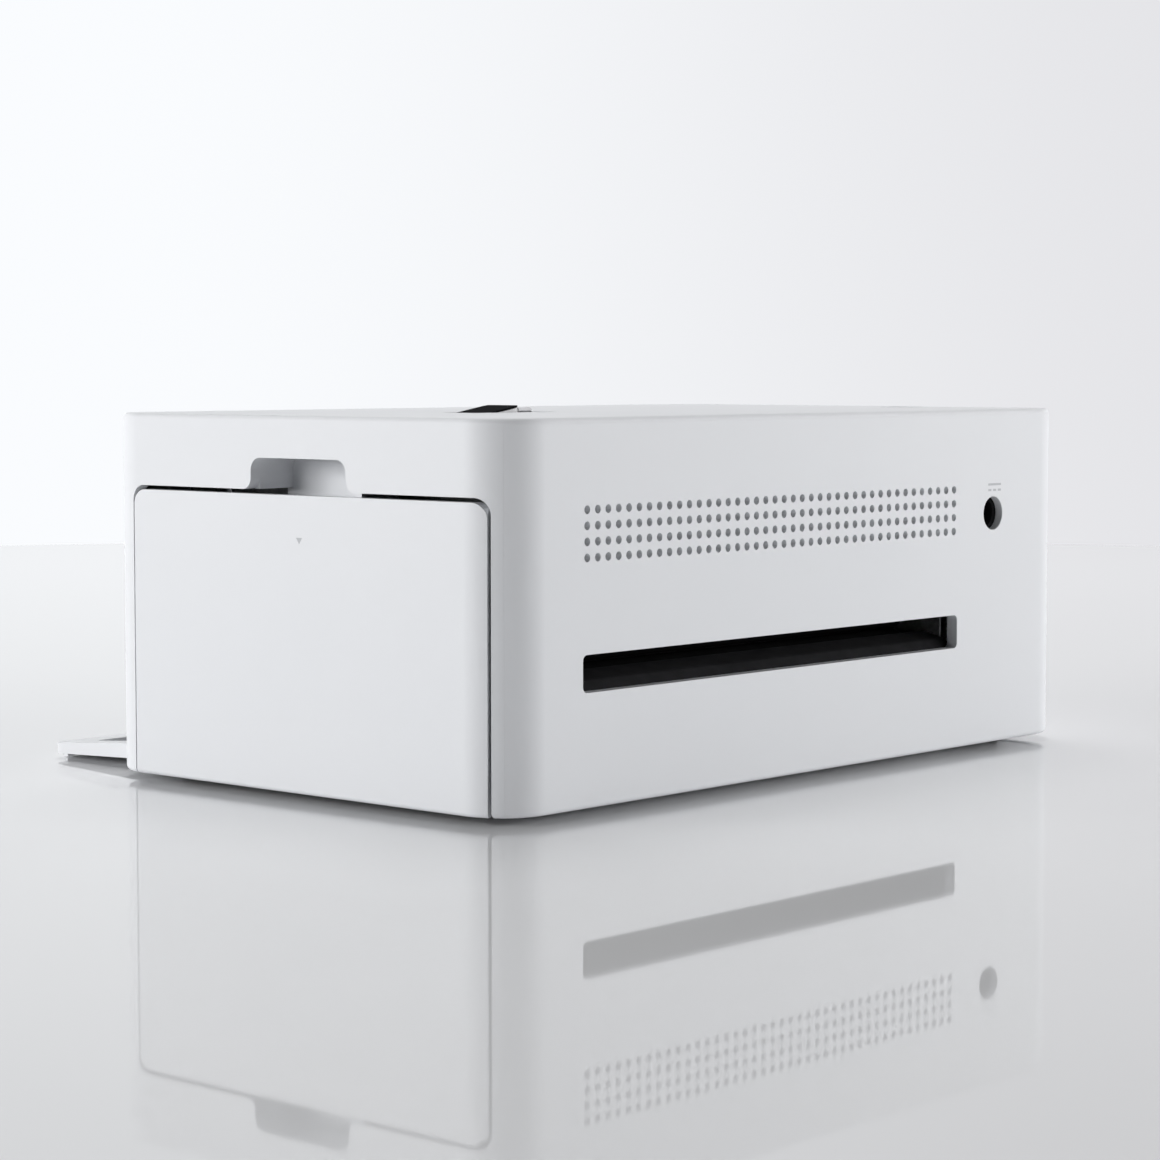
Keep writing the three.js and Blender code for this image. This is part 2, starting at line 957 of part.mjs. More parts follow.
// The end-on outline of the cartridge: two barrels and the bridge between them.
function cartridgeOutline(margin) {
  const radius = barrelOuter + margin;
  const shape = new THREE.Shape();
  shape.absarc(spool.supplyY, spoolZ, radius, -Math.PI / 2, Math.PI / 2, false);
  shape.absarc(spool.takeUpY, spoolZ, radius, Math.PI / 2, Math.PI * 1.5, false);
  shape.closePath();
  return shape;
}

function cartridgeWindow(x0, x1) {
  return prismX(cartridgeOutline(plate.window), x0 - gap.overrun, x1 + gap.overrun, barrelSteps);
}

function shaftHole(radius, y, z, x0, x1) {
  return rodX(radius + gap.shaft, x0 - gap.overrun, x1 + gap.overrun, y, z, holeSides);
}

function plateOutline() {
  return polygon([
    [plateFront, baseTop],
    [plateRear, baseTop],
    [plateRear, baseTop + plate.rearHeight],
    [plateRear - plate.rearSlope + plate.chamfer, plateTop - plate.chamfer],
    [plateRear - plate.rearSlope, plateTop],
    [plateFront + plate.chamfer, plateTop],
    [plateFront, plateTop - plate.chamfer],
  ]);
}

function rollerHoles(x0, x1) {
  return [
    shaftHole(capstan.shaft, capstan.y, capstanZ, x0, x1),
    shaftHole(platen.shaft, platen.y, platenZ, x0, x1),
    shaftHole(pinch.shaft, capstan.y, pinchZ, x0, x1),
    shaftHole(pickup.shaft, train.pickupGear.y, train.pickupGear.z, x0, x1),
    rodX(head.shaft + gap.seat, x0 - gap.overrun, x1 + gap.overrun, head.pivotY, headPivotZ, smallSides),
  ];
}

function rightSidePlate() {
  const sheet = prismX(plateOutline(), rightPlate, rightOuter);
  return cut(sheet, cartridgeWindow(rightPlate, rightOuter), ...rollerHoles(rightPlate, rightOuter));
}

// Gear places in Y and Z, each with its number of teeth and the turn that puts it in mesh.
function pitchRadius(count) {
  return (gearing.module * count) / 2;
}

function meshDistance(a, b) {
  return pitchRadius(a) + pitchRadius(b) + gearing.clearance;
}

function meshPhase(driver, follower) {
  const direction = Math.atan2(follower.z - driver.z, follower.y - driver.y);
  const turn = Math.PI * 2;
  const driverTooth = ((direction - driver.phase) * driver.count) / turn;
  return direction + Math.PI - ((0.5 - driverTooth) * turn) / follower.count;
}

function gearTrain() {
  const capstanGear = { y: capstan.y, z: capstanZ, count: capstanTeeth, phase: 0 };
  const reach = meshDistance(capstanTeeth, pinionTeeth);
  const pinion = {
    y: capstanGear.y + reach * Math.cos(pinionDirection),
    z: capstanGear.z + reach * Math.sin(pinionDirection),
    count: pinionTeeth,
  };
  const step = meshDistance(pinionTeeth, idlerOneTeeth);
  const idlerOne = {
    y: pinion.y + step * Math.cos(idlerDirection),
    z: pinion.z + step * Math.sin(idlerDirection),
    count: idlerOneTeeth,
  };
  const takeUp = { y: spool.takeUpY, z: spoolZ, count: takeUpTeeth };
  const near = meshDistance(idlerOneTeeth, idlerTwoTeeth);
  const far = meshDistance(idlerTwoTeeth, takeUpTeeth);
  const spanY = takeUp.y - idlerOne.y;
  const spanZ = takeUp.z - idlerOne.z;
  const span = Math.hypot(spanY, spanZ);
  const along = (near * near - far * far + span * span) / (2 * span);
  const aside = Math.sqrt(near * near - along * along);
  const idlerTwo = {
    y: idlerOne.y + (along * spanY + aside * spanZ) / span,
    z: idlerOne.z + (along * spanZ - aside * spanY) / span,
    count: idlerTwoTeeth,
  };
  const reachPickup = meshDistance(takeUpTeeth, pickupTeeth);
  const pickupGear = {
    y: takeUp.y + reachPickup * Math.cos(pickupDirection),
    z: takeUp.z + reachPickup * Math.sin(pickupDirection),
    count: pickupTeeth,
  };
  pinion.phase = meshPhase(capstanGear, pinion);
  idlerOne.phase = meshPhase(pinion, idlerOne);
  idlerTwo.phase = meshPhase(idlerOne, idlerTwo);
  takeUp.phase = meshPhase(idlerTwo, takeUp);
  pickupGear.phase = meshPhase(takeUp, pickupGear);
  return { capstanGear, pinion, idlerOne, idlerTwo, takeUp, pickupGear };
}

const train = gearTrain();

// The toothed outline of a gear about its own axis.
function gearOutline(gear) {
  const pitch = (Math.PI * 2) / gear.count;
  const radius = pitchRadius(gear.count);
  const points = [];
  for (let i = 0; i < gear.count; i += 1) {
    const middle = gear.phase + i * pitch;
    const corners = [
      [radius - gearing.root, -toothRootShare / 2],
      [radius + gearing.tip, -toothTipShare / 2],
      [radius + gearing.tip, toothTipShare / 2],
      [radius - gearing.root, toothRootShare / 2],
    ];
    corners.forEach(([r, share]) => {
      const angle = middle + share * pitch;
      points.push([r * Math.cos(angle), r * Math.sin(angle)]);
    });
  }
  return polygon(points);
}

function gearForm(gear, bore) {
  const wheel = prismX(gearOutline(gear), gearLeft, gearRight);
  const collar = rodX(gearing.hub, gearLeft, gearRight + gearing.hubRise, 0, 0, holeSides);
  const hole = rodX(bore, gearLeft - gap.overrun, gearRight + gap.overrun, 0, 0, smallSides);
  return cut(join(wheel, collar), hole);
}

// The plate on the electronics side carries the studs of the two idler gears.
function leftSidePlate() {
  const sheet = prismX(plateOutline(), leftOuter, leftPlate);
  const holes = [
    ...rollerHoles(leftOuter, leftPlate),
    shaftHole(hub.radius, spool.takeUpY, spoolZ, leftOuter, leftPlate),
  ];
  const studEnd = gearLeft - gearing.studEnd;
  const studs = [train.idlerOne, train.idlerTwo].map((gear) => (
    rodX(gearing.stud, studEnd, leftOuter + gap.seam, gear.y, gear.z, smallSides)
  ));
  return join(cut(sheet, ...holes), ...studs);
}

function frontCrossbar() {
  const rear = plateFront + crossbar.sheet;
  const bottom = crossbarTop - crossbar.height;
  const web = box(leftPlate, rightPlate, plateFront, rear, bottom, crossbarTop);
  const flange = box(
    leftPlate,
    rightPlate,
    plateFront,
    plateFront + crossbar.flange,
    crossbarTop - crossbar.sheet,
    crossbarTop,
  );
  return join(web, flange);
}

function topBrace() {
  const sheet = box(
    leftPlate,
    rightPlate,
    crossbar.braceFront,
    crossbar.braceRear,
    plateTop - crossbar.sheet,
    plateTop,
  );
  const lip = box(
    leftPlate,
    rightPlate,
    crossbar.braceRear - crossbar.sheet,
    crossbar.braceRear,
    plateTop - crossbar.flange,
    plateTop,
  );
  return join(sheet, lip);
}

function rollerSpan() {
  return [pathCentre - rollerHalf, pathCentre + rollerHalf];
}

function shaftSpan() {
  return [leftOuter - shaftEnds.left, rightOuter + shaftEnds.right];
}

// A rubber sleeve on a shaft, with the bore a seat wider than the shaft.
function sleeve(radius, bore) {
  const [x0, x1] = rollerSpan();
  const hole = rodX(bore + gap.seat, x0 - gap.overrun, x1 + gap.overrun, 0, 0, smallSides);
  return cut(rodX(radius, x0, x1), hole);
}

function steppedRoller(radius, shaft, left) {
  const [x0, x1] = rollerSpan();
  return join(rodX(radius, x0, x1), rodX(shaft, left, shaftSpan()[1], 0, 0, smallSides));
}

function pickupTyre() {
  const half = pickup.tyreWidth / 2;
  const tyre = rodX(pickup.radius, -half, half);
  return cut(tyre, rodX(pickup.core + gap.seat, -half - gap.overrun, half + gap.overrun));
}

function pickupShaft() {
  const half = pickup.tyreOffset + pickup.tyreWidth / 2;
  const core = rodX(pickup.core, pathCentre - half, pathCentre + half);
  return join(core, rodX(pickup.shaft, gearLeft, shaftSpan()[1], 0, 0, smallSides));
}

function motorPinion() {
  const shaftLeft = gearLeft - motor.bracketStandoff - motor.bracket + gap.running;
  const shaft = rodX(motor.shaft, shaftLeft, gearRight, 0, 0, smallSides);
  return join(prismX(gearOutline(train.pinion), gearLeft, gearRight), shaft);
}

// The motor's bracket stands on three posts that pass between the gears.
function motorBracket() {
  const right = gearLeft - motor.bracketStandoff;
  const left = right - motor.bracket;
  const half = motor.radius + motor.bracketMargin;
  const { y, z } = train.pinion;
  const sheet = box(left, right, y - half, y + half, baseTop, z + half);
  const spots = [
    [y - half + motor.post, baseTop + motor.post],
    [y + half - motor.post, baseTop + motor.post],
    [y, z + half - motor.post],
  ];
  const posts = spots.map(([postY, postZ]) => (
    rodX(motor.post, right - gap.seam, leftOuter, postY, postZ, smallSides)
  ));
  const hole = rodX(motor.boss, left - gap.overrun, right + gap.overrun, y, z);
  return cut(join(sheet, ...posts), hole);
}

function driveMotor() {
  const right = gearLeft - motor.bracketStandoff - motor.bracket;
  const can = rodX(motor.radius, right - motor.length, right);
  return join(can, rodX(motor.boss, right - motor.length - motor.bossRise, right - motor.length + gap.seam));
}

function mainBoard() {
  const sheet = box(boardLeft, boardRight, boardFront, boardRear, boardBottom, boardTop);
  const middleX = (boardLeft + boardRight) / 2;
  const chip = box(
    middleX - board.chip / 2,
    middleX + board.chip / 2,
    boardFront + board.chipInset,
    boardFront + board.chipInset + board.chip,
    boardTop - gap.seam,
    boardTop + board.chipHeight,
  );
  const capacitor = rodZ(
    board.capacitor,
    boardTop - gap.seam,
    boardTop + board.capacitorHeight,
    middleX,
    boardRear - board.capacitorInset,
    smallSides,
  );
  const socket = box(
    boardRight - board.socketDepth,
    boardRight,
    -board.socketWidth / 2,
    board.socketWidth / 2,
    boardTop - gap.seam,
    boardTop + board.socketHeight,
  );
  const switchTop = stemEnd - button.switchGap;
  const tactile = rodZ(button.switchRadius, boardTop - gap.seam, switchTop, buttonX, button.y, smallSides);
  return join(sheet, chip, capacitor, socket, tactile);
}

function dcJack() {
  const front = halfDepth - jack.skin - gap.running;
  const bodyBox = box(
    jackX - jack.width / 2,
    jackX + jack.width / 2,
    front - jack.depth,
    front,
    jackZ - jack.height / 2,
    boardBottom,
  );
  const socket = rodY(jack.socket / 2, front - jack.socketDepth, front + gap.overrun, jackX, jackZ);
  const pinBack = front - jack.socketDepth - gap.seam;
  const pin = rodY(jack.pin / 2, pinBack, front - jack.pinInset, jackX, jackZ, smallSides);
  return join(cut(bodyBox, socket), pin);
}

// The fan draws air out through the rear vents.
function fanFrame() {
  const rear = innerY - gap.running;
  const front = rear - fan.depth;
  const half = fan.size / 2;
  const shape = roundedRectangle(fanX - half, fanX + half, fanZ - half, fanZ + half, fan.corner);
  const duct = rodY(fan.bore, front - gap.overrun, rear + gap.overrun, fanX, fanZ);
  const hubDisc = rodY(fan.hub, front, front + fan.strutDepth, fanX, fanZ);
  const struts = [];
  for (let i = 0; i < strutCount; i += 1) {
    const reach = fan.bore + gap.running;
    const strut = box(0, reach, front, front + fan.strutDepth, -fan.strut / 2, fan.strut / 2);
    const turned = strut.rotate([0, (360 * i) / strutCount, 0]);
    struts.push(turned.translate([fanX, 0, fanZ]));
  }
  return join(cut(prismY(shape, front, rear, edgeSteps), duct), hubDisc, ...struts);
}

function fanRotor() {
  const rear = innerY - gap.running;
  const front = rear - fan.depth + fan.strutDepth + fan.rotorGap;
  const middle = front + fan.rotorDepth / 2;
  const hubForm = rodY(fan.hub, front, front + fan.rotorDepth);
  const blades = [];
  for (let i = 0; i < bladeCount; i += 1) {
    const geometry = new THREE.BoxGeometry(fan.bladeTip - fan.hub / 2, fan.rotorDepth - fan.blade, fan.blade);
    geometry.rotateX(bladePitch);
    geometry.translate((fan.bladeTip + fan.hub / 2) / 2, middle, 0);
    geometry.rotateY((Math.PI * 2 * i) / bladeCount);
    blades.push(solid(geometry));
  }
  return join(hubForm, ...blades);
}

// The two hinge knuckles stand at these places along Y, each given by its front face.
function knuckleSpots() {
  return [doorFront + door.knuckleInset, arcY - door.knuckleInset];
}

// The door follows the flat side and the start of the rear corner of the case.
function cartridgeDoor() {
  const face = roundedRectangle(doorFront, doorRear + gap.overrun, 0, doorTop, 0, door.cornerRadius);
  const ring = cut(block, prismZ(caseOutline(door.thickness), -gap.overrun, bodyTop));
  const behindEnd = ringSector(
    arcX,
    arcY,
    gap.seat,
    body.cornerRadius + gap.overrun,
    doorEndAngle,
    Math.PI,
  );
  const skin = cut(
    ring.intersect(prismX(face, arcX + body.wall, halfWidth + gap.overrun)),
    prismZ(behindEnd, -gap.overrun, bodyTop),
    doorEndCorner(),
  );
  const ribs = [doorFront + door.ribInset, doorRear - door.rearRibInset].map((y) => (
    box(
      doorInnerX - door.ribRise,
      doorInnerX + gap.seam,
      y,
      y + door.rib,
      door.hingeHeight + door.ribInset,
      doorTop - door.ribInset,
    )
  ));
  const parts = [skin, ...ribs];
  const hollows = [];
  knuckleSpots().forEach((y) => {
    const lugPlaces = [y - gap.running - door.lugWidth, y + door.knuckleWidth + gap.running];
    lugPlaces.forEach((start) => parts.push(doorLug(start)));
    hollows.push(
      box(
        doorInnerX - gap.overrun,
        doorInnerX + door.pocket,
        y - gap.running,
        y + door.knuckleWidth + gap.running,
        bodyBottom - gap.overrun,
        door.hingeHeight + door.knuckleRadius + gap.running,
      ),
    );
  });
  const pinHoles = knuckleSpots().map((y) => hingePinForm(y, gap.seat));
  return cut(join(...parts), ...hollows, ...pinHoles);
}

// What the round upper rear corner of the door leaves out.
function doorEndCorner() {
  const radius = door.cornerRadius;
  const square = box(
    arcX + body.wall,
    halfWidth + gap.overrun,
    doorRear - radius,
    doorRear + gap.overrun,
    doorTop - radius,
    doorTop + gap.overrun,
  );
  return cut(square, rodX(radius, arcX, halfWidth + gap.overrun * 2, doorRear - radius, doorTop - radius));
}

function doorLug(start) {
  return box(
    doorHingeX - door.lugHalf,
    doorInnerX + gap.seam,
    start,
    start + door.lugWidth,
    door.hingeHeight - door.lugHalf,
    door.hingeHeight + door.lugHalf,
  );
}

// The hinge pin that joins one knuckle to the door's pair of lugs.
function hingePinForm(y, margin) {
  const reach = gap.running + door.lugWidth + margin;
  return rodY(
    door.pinRadius + margin,
    y - reach,
    y + door.knuckleWidth + reach,
    doorHingeX,
    door.hingeHeight,
    smallSides,
  );
}

// Flap in its closed stance about its own hinge line: outer face at minus Y, free edge up.
function trayFlap() {
  const outer = -flap.hingeInset;
  const inner = outer + flap.plate;
  const width = flapHalfWidth;
  const face = roundedRectangle(-width, width, outer, flap.length, 0, flap.cornerRadius);
  const slab = prismY(face, outer, inner + flap.rim, edgeSteps);
  const panel = roundedRectangle(
    -width + flap.rimWidth,
    width - flap.rimWidth,
    outer + flap.rimWidth,
    flap.length - flap.tipRim,
    flap.recessRadius,
  );
  const recess = prismY(panel, inner, inner + flap.rim + gap.overrun, edgeSteps);
  const droopDrop = flap.length * Math.sin(flapDroop);
  const lipDepth = (flap.hingeHeight - droopDrop - flap.floorGap) / Math.cos(flapDroop) + outer;
  const lip = box(
    -width + flap.cornerRadius,
    width - flap.cornerRadius,
    outer - lipDepth,
    outer + gap.seam,
    flap.length - flap.lipLength,
    flap.length,
  );
  const stubs = [-1, 1].map((side) => {
    const near = side * (width - gap.seam);
    const far = side * (width + flap.stubLength);
    return rodX(flap.stubRadius, Math.min(near, far), Math.max(near, far), 0, 0, smallSides);
  });
  return join(cut(slab, recess), lip, ...stubs);
}

function cartridgeFrame() {
  const turn = Math.PI * 2 - barrelMouth;
  const supplyStart = Math.PI - barrelMouthTurn + barrelMouth / 2;
  const supply = ringSector(
    spool.supplyY,
    spoolZ,
    cartridge.barrelInner,
    barrelOuter,
    supplyStart,
    supplyStart + turn,
  );
  const takeUpStart = barrelMouthTurn + barrelMouth / 2;
  const takeUp = ringSector(
    spool.takeUpY,
    spoolZ,
    cartridge.barrelInner,
    barrelOuter,
    takeUpStart,
    takeUpStart + turn,
  );
  const left = cartridgeLeft;
  const right = cartridgeRight;
  const barrels = [supply, takeUp].map((shape) => (
    prismX(shape, left, right - cartridge.plate + gap.seam, barrelSteps)
  ));
  const lidRight = prismX(cartridgeOutline(cartridge.lidMargin), right - cartridge.plate, right, barrelSteps);
  const discRadius = cartridge.barrelInner + cartridge.discSeat;
  const discs = [spool.supplyY, spool.takeUpY].map((y) => (
    rodX(discRadius, left, left + cartridge.plate, y, spoolZ)
  ));
  const low = spoolZ - barrelOuter + gap.seam;
  const bridge = box(
    left,
    left + cartridge.plate,
    spool.takeUpY,
    spool.supplyY,
    low,
    low + cartridge.bridgeRise,
  );
  const middleY = (spool.supplyY + spool.takeUpY) / 2;
  const grip = box(
    right - cartridge.gripLength,
    right - gap.seam,
    middleY - cartridge.gripWidth / 2,
    middleY + cartridge.gripWidth / 2,
    spoolZ - barrelOuter + gap.seam,
    spoolZ + barrelOuter - cartridge.gripRecess,
  );
  const tie = box(
    right - cartridge.gripLength,
    right - cartridge.gripLength + cartridge.plate,
    spool.takeUpY + barrelOuter - cartridge.barrelWall,
    spool.supplyY - barrelOuter + cartridge.barrelWall,
    spoolZ - cartridge.bridgeRise,
    spoolZ + cartridge.bridgeRise,
  );
  const spoolHoles = [spool.supplyY, spool.takeUpY].map((y) => (
    rodX(spool.core + gap.running, left - gap.overrun, left + cartridge.plate + gap.seam, y, spoolZ)
  ));
  const journalHoles = [spool.supplyY, spool.takeUpY].map((y) => (
    rodX(
      spool.journal + gap.running,
      right - cartridge.plate - gap.seam,
      right - cartridge.plate + spool.journalLength / 2 + gap.running,
      y,
      spoolZ,
    )
  ));
  const whole = join(...barrels, lidRight, ...discs, bridge, grip, tie);
  return cut(whole, ...spoolHoles, ...journalHoles);
}

// A spool: a core with a drive bore at one end and a journal at the other.
function spoolForm() {
  const left = cartridgeLeft + gap.running;
  const right = cartridgeRight - cartridge.plate - gap.running * 2;
  const tip = cartridgeRight - cartridge.plate + spool.journalLength / 2;
  const core = rodX(spool.core, left, right, 0, 0, holeSides);
  const journal = rodX(spool.journal, right - gap.seam, tip, 0, 0, smallSides);
  const bore = rodX(spool.bore, left - gap.overrun, left + spool.boreDepth, 0, 0, smallSides);
  return cut(join(core, journal), bore);
}

function filmRoll(radius) {
  const half = cartridge.filmWidth / 2;
  const x0 = pathCentre - half;
  const x1 = pathCentre + half;
  const hole = rodX(spool.core + gap.seat, x0 - gap.overrun, x1 + gap.overrun, 0, 0, holeSides);
  return cut(rodX(radius, x0, x1), hole);
}

// Ribbon film drawn tight below the two rolls, along their common tangent.
function ribbonFilm() {
  const supply = spool.supplyRoll + gap.seam;
  const takeUp = spool.takeUpRoll + gap.seam;
  const distance = spool.supplyY - spool.takeUpY;
  const slope = Math.asin((supply - takeUp) / distance);
  const foot1 = [spool.supplyY - supply * Math.sin(slope), spoolZ - supply * Math.cos(slope)];
  const foot2 = [spool.takeUpY - takeUp * Math.sin(slope), spoolZ - takeUp * Math.cos(slope)];
  const down = [-cartridge.film * Math.sin(slope), -cartridge.film * Math.cos(slope)];
  const shape = polygon([
    foot1,
    foot2,
    [foot2[0] + down[0], foot2[1] + down[1]],
    [foot1[0] + down[0], foot1[1] + down[1]],
  ]);
  const half = cartridge.filmWidth / 2;
  return prismX(shape, pathCentre - half, pathCentre + half);
}

function takeUpGear() {
  const reach = cartridgeLeft + hub.reach;
  const wheel = join(
    prismX(gearOutline(train.takeUp), gearLeft, gearRight),
    rodX(gearing.hub, gearLeft, leftOuter - gap.running, 0, 0, holeSides),
  );
  return join(wheel, rodX(hub.radius, gearLeft, reach, 0, 0, smallSides));
}

function supplyHub() {
  const flange = rodX(hub.flange, leftPlate, leftPlate + hub.flangeThickness, 0, 0, smallSides);
  return join(flange, rodX(hub.radius, leftPlate, cartridgeLeft + hub.reach, 0, 0, smallSides));
}

function headBracket() {
  const left = pathCentre - plate.halfSpan + head.armInset;
  const right = pathCentre + plate.halfSpan - head.armInset;
  const back = head.rear + head.backplate;
  const arms = [left, right - head.armThickness].map((x) => {
    const bar = box(x, x + head.armThickness, head.pivotY, back, path.plane + head.armBottomRise, headArmTop);
    const boss = rodX(head.boss, x, x + head.armThickness, head.pivotY, headPivotZ);
    const hole = shaftHole(head.shaft, head.pivotY, headPivotZ, x, x + head.armThickness);
    return cut(join(bar, boss), hole);
  });
  const web = box(left, right, head.rear, back, path.plane + head.backplateRise, headArmTop);
  return join(...arms, web);
}

function heatSink() {
  const left = pathCentre - head.sinkHalf;
  const right = pathCentre + head.sinkHalf;
  const top = path.plane + head.sinkRise;
  const bar = box(left, right, head.front, head.rear, headBottom + head.ceramic, top);
  const floor = top - head.finDepth;
  const grooves = [];
  for (let i = 0; i < finCount; i += 1) {
    const y = head.front + head.fin + i * (head.fin + head.finGap);
    grooves.push(box(left - gap.overrun, right + gap.overrun, y, y + head.finGap, floor, top + gap.overrun));
  }
  return cut(bar, ...grooves);
}

function thermalHead() {
  const half = path.paperWidth / 2;
  const top = headBottom + head.ceramic;
  const step = headBottom + head.ceramicStep;
  const rear = head.noseFront + head.nose;
  const shape = polygon([
    [head.noseFront, top],
    [head.noseFront, step],
    [head.noseFront + head.noseChamfer, headBottom],
    [rear - head.noseChamfer, headBottom],
    [rear, step],
    [rear, top],
  ]);
  return prismX(shape, pathCentre - half, pathCentre + half);
}

function pivotShaft() {
  const right = rightOuter + shaftEnds.pivotRight;
  return rodX(head.shaft, leftOuter - shaftEnds.pivotLeft, right, 0, 0, smallSides);
}

// A sloping guide that lifts the sheet from the tray to the platen.
function rampGuide() {
  const x0 = pathCentre - path.paperWidth / 2;
  const x1 = pathCentre + path.paperWidth / 2;
  const top = path.plane - guide.drop;
  const shape = polygon([
    [guide.rampFront, baseTop],
    [guide.rampFront + guide.sheet, baseTop],
    [guide.rampFront + guide.sheet, guide.rampBottom],
    [guide.rampBack, top - guide.sheet],
    [guide.rampBack, top],
    [guide.rampBack - guide.sheet, top],
    [guide.rampFront, guide.rampBottom],
  ]);
  return prismX(shape, x0, x1);
}

// The flat bed between platen and grip roller, on two legs.
function bedGuide() {
  const x0 = pathCentre - plate.halfSpan;
  const x1 = pathCentre + plate.halfSpan;
  const front = platen.y + platen.radius + gap.running;
  const rear = capstan.y - capstan.radius - gap.running;
  const top = path.plane - guide.drop;
  const bed = box(x0, x1, front, rear, top - guide.sheet, top);
  const leg = box(x0, x1, (front + rear) / 2, (front + rear) / 2 + guide.sheet, baseTop, top);
  return join(bed, leg);
}

// The chute that leads the sheet from the grip roller out to the slot.
function exitGuide() {
  const x0 = pathCentre - plate.halfSpan;
  const x1 = pathCentre + plate.halfSpan;
  const front = capstan.y + capstan.radius + gap.running;
  const rear = innerY - gap.running;
  const top = path.plane - guide.drop;
  const shape = polygon([
    [front, top],
    [front, top - guide.sheet],
    [front + guide.sheet, top - guide.rib],
    [rear, slot.floor - guide.sheet],
    [rear, slot.floor],
    [rear - guide.sheet, slot.floor + guide.exitDrop],
  ]);
  return prismX(shape, x0, x1);
}

// The inner frame behind the door: the window for the cartridge, the hinge knuckles
// and the two steel catches that the door's magnets hold to.
function bayFrame() {
  const front = doorFront - gap.running;
  const rear = arcY;
  const sheet = box(frameInner, frameOuter, front, rear, frame.bottom, doorTop - frame.topInset);
  const shelfLeft = frameInner - frame.shelf;
  const shelfTop = frame.bottom + frame.thickness;
  const shelf = box(shelfLeft, frameInner + gap.seam, front, rear, frame.bottom, shelfTop);
  const legs = [front + frame.legWidth, rear - frame.rearLegInset].map((y) => (
    box(
      shelfLeft,
      shelfLeft + frame.thickness,
      y,
      y + frame.legWidth,
      baseTop,
      shelfTop,
    )
  ));
  const knuckles = knuckleSpots().flatMap((y) => [
    rodY(door.knuckleRadius, y, y + door.knuckleWidth, doorHingeX, door.hingeHeight, roundSides),
    box(
      frameInner,
      doorHingeX,
      y,
      y + door.knuckleWidth,
      door.hingeHeight,
      shelfTop,
    ),
  ]);
  const catches = catchSpots().map((y) => (
    rodX(frame.catchRadius, frameOuter - gap.seam, frameOuter + frame.catchRise, y, magnetZ, holeSides)
  ));
  const pinHoles = knuckleSpots().map((y) => hingePinForm(y, gap.shaft));
  const whole = join(sheet, shelf, ...legs, ...knuckles, ...catches);
  return cut(whole, cartridgeWindow(frameInner, frameOuter), ...pinHoles);
}

function catchSpots() {
  return [doorFront + frame.magnetInset, doorRear - frame.magnetRearInset];
}

// Dock well below the window in the top wall.
function dockWell() {
  const outside = roundedRectangle(
    dockLeft - dock.wall,
    dockRight + dock.wall,
    -dock.halfWidth - dock.wall,
    dock.halfWidth + dock.wall,
    dock.cornerRadius + dock.wall,
  );
  const inside = roundedRectangle(dockLeft, dockRight, -dock.halfWidth, dock.halfWidth, dock.cornerRadius);
  const tub = prismZ(outside, dockFloor - dock.wall, ceiling, edgeSteps);
  const room = prismZ(inside, dockFloor, ceiling + gap.overrun, edgeSteps);
  const pinHole = rodY(
    dock.pinRadius + gap.seat,
    -dock.halfWidth - dock.wall - gap.overrun,
    dock.halfWidth + dock.wall + gap.overrun,
    dockPivotX,
    dockPivotZ,
    smallSides,
  );
  return cut(tub, room, pinHole);
}

function dockPin() {
  const half = dock.halfWidth + dock.wall;
  return rodY(dock.pinRadius, -half, half, 0, 0, smallSides);
}

// Side view of the tipping connector arm in X and Z about its pivot.
function armProfile(drop) {
  const top = bodyTop - dockPivotZ - drop;
  return [
    [fromPivot(wedge.tail), top - wedge.tailDrop],
    [fromPivot(wedge.bend), top - wedge.bendDrop],
    [fromPivot(wedge.thin), top - wedge.thinDrop],
    [fromPivot(wedge.crestRight), top + wedge.crest],
    [fromPivot(wedge.crestLeft), top + wedge.crest],
    [fromPivot(wedge.nose), top + wedge.noseRise],
  ];
}

// Where a point at an inset from the hinge end of the window lies about the pivot.
function fromPivot(inset) {
  return dock.pivotInset - inset;
}

// Plan of the arm, with its two nose corners rounded.
function armOutline() {
  const half = dock.armHalfWidth;
  const behind = fromPivot(wedge.tail) + wedge.noseRadius + gap.overrun;
  const plan = roundedRectangle(fromPivot(wedge.nose), behind, -half, half, wedge.noseRadius);
  return prismZ(plan, -dock.depth, dock.depth, arcSteps);
}

function dockArm() {
  const under = dock.pivotDepth - wedge.underside;
  const lift = dock.coverThickness + gap.seat;
  const shape = polygon([
    [fromPivot(wedge.nose), under],
    [fromPivot(wedge.tail), under],
    ...armProfile(lift),
    [fromPivot(wedge.nose), dock.pivotDepth - lift],
  ]);
  const half = dock.armHalfWidth;
  const room = rodY(dock.pinRadius + gap.shaft, -half - gap.overrun, half + gap.overrun, 0, 0, smallSides);
  return cut(prismY(shape, -half, half).intersect(armOutline()), room);
}

function dockCover() {
  const upper = armProfile(0);
  const lower = armProfile(dock.coverThickness).reverse();
  const strip = prismY(polygon([...upper, ...lower]), -dock.armHalfWidth, dock.armHalfWidth);
  return strip.intersect(armOutline());
}

function dockPlug() {
  const middle = bodyTop + plug.centreRise - dockPivotZ;
  const shape = roundedRectangle(
    -plug.halfWidth,
    plug.halfWidth,
    middle - plug.thickness / 2,
    middle + plug.thickness / 2,
    plug.radius,
  );
  const x0 = fromPivot(plug.tip);
  const x1 = fromPivot(wedge.nose) - gap.seat;
  return prismX(shape, x0, x1, edgeSteps);
}

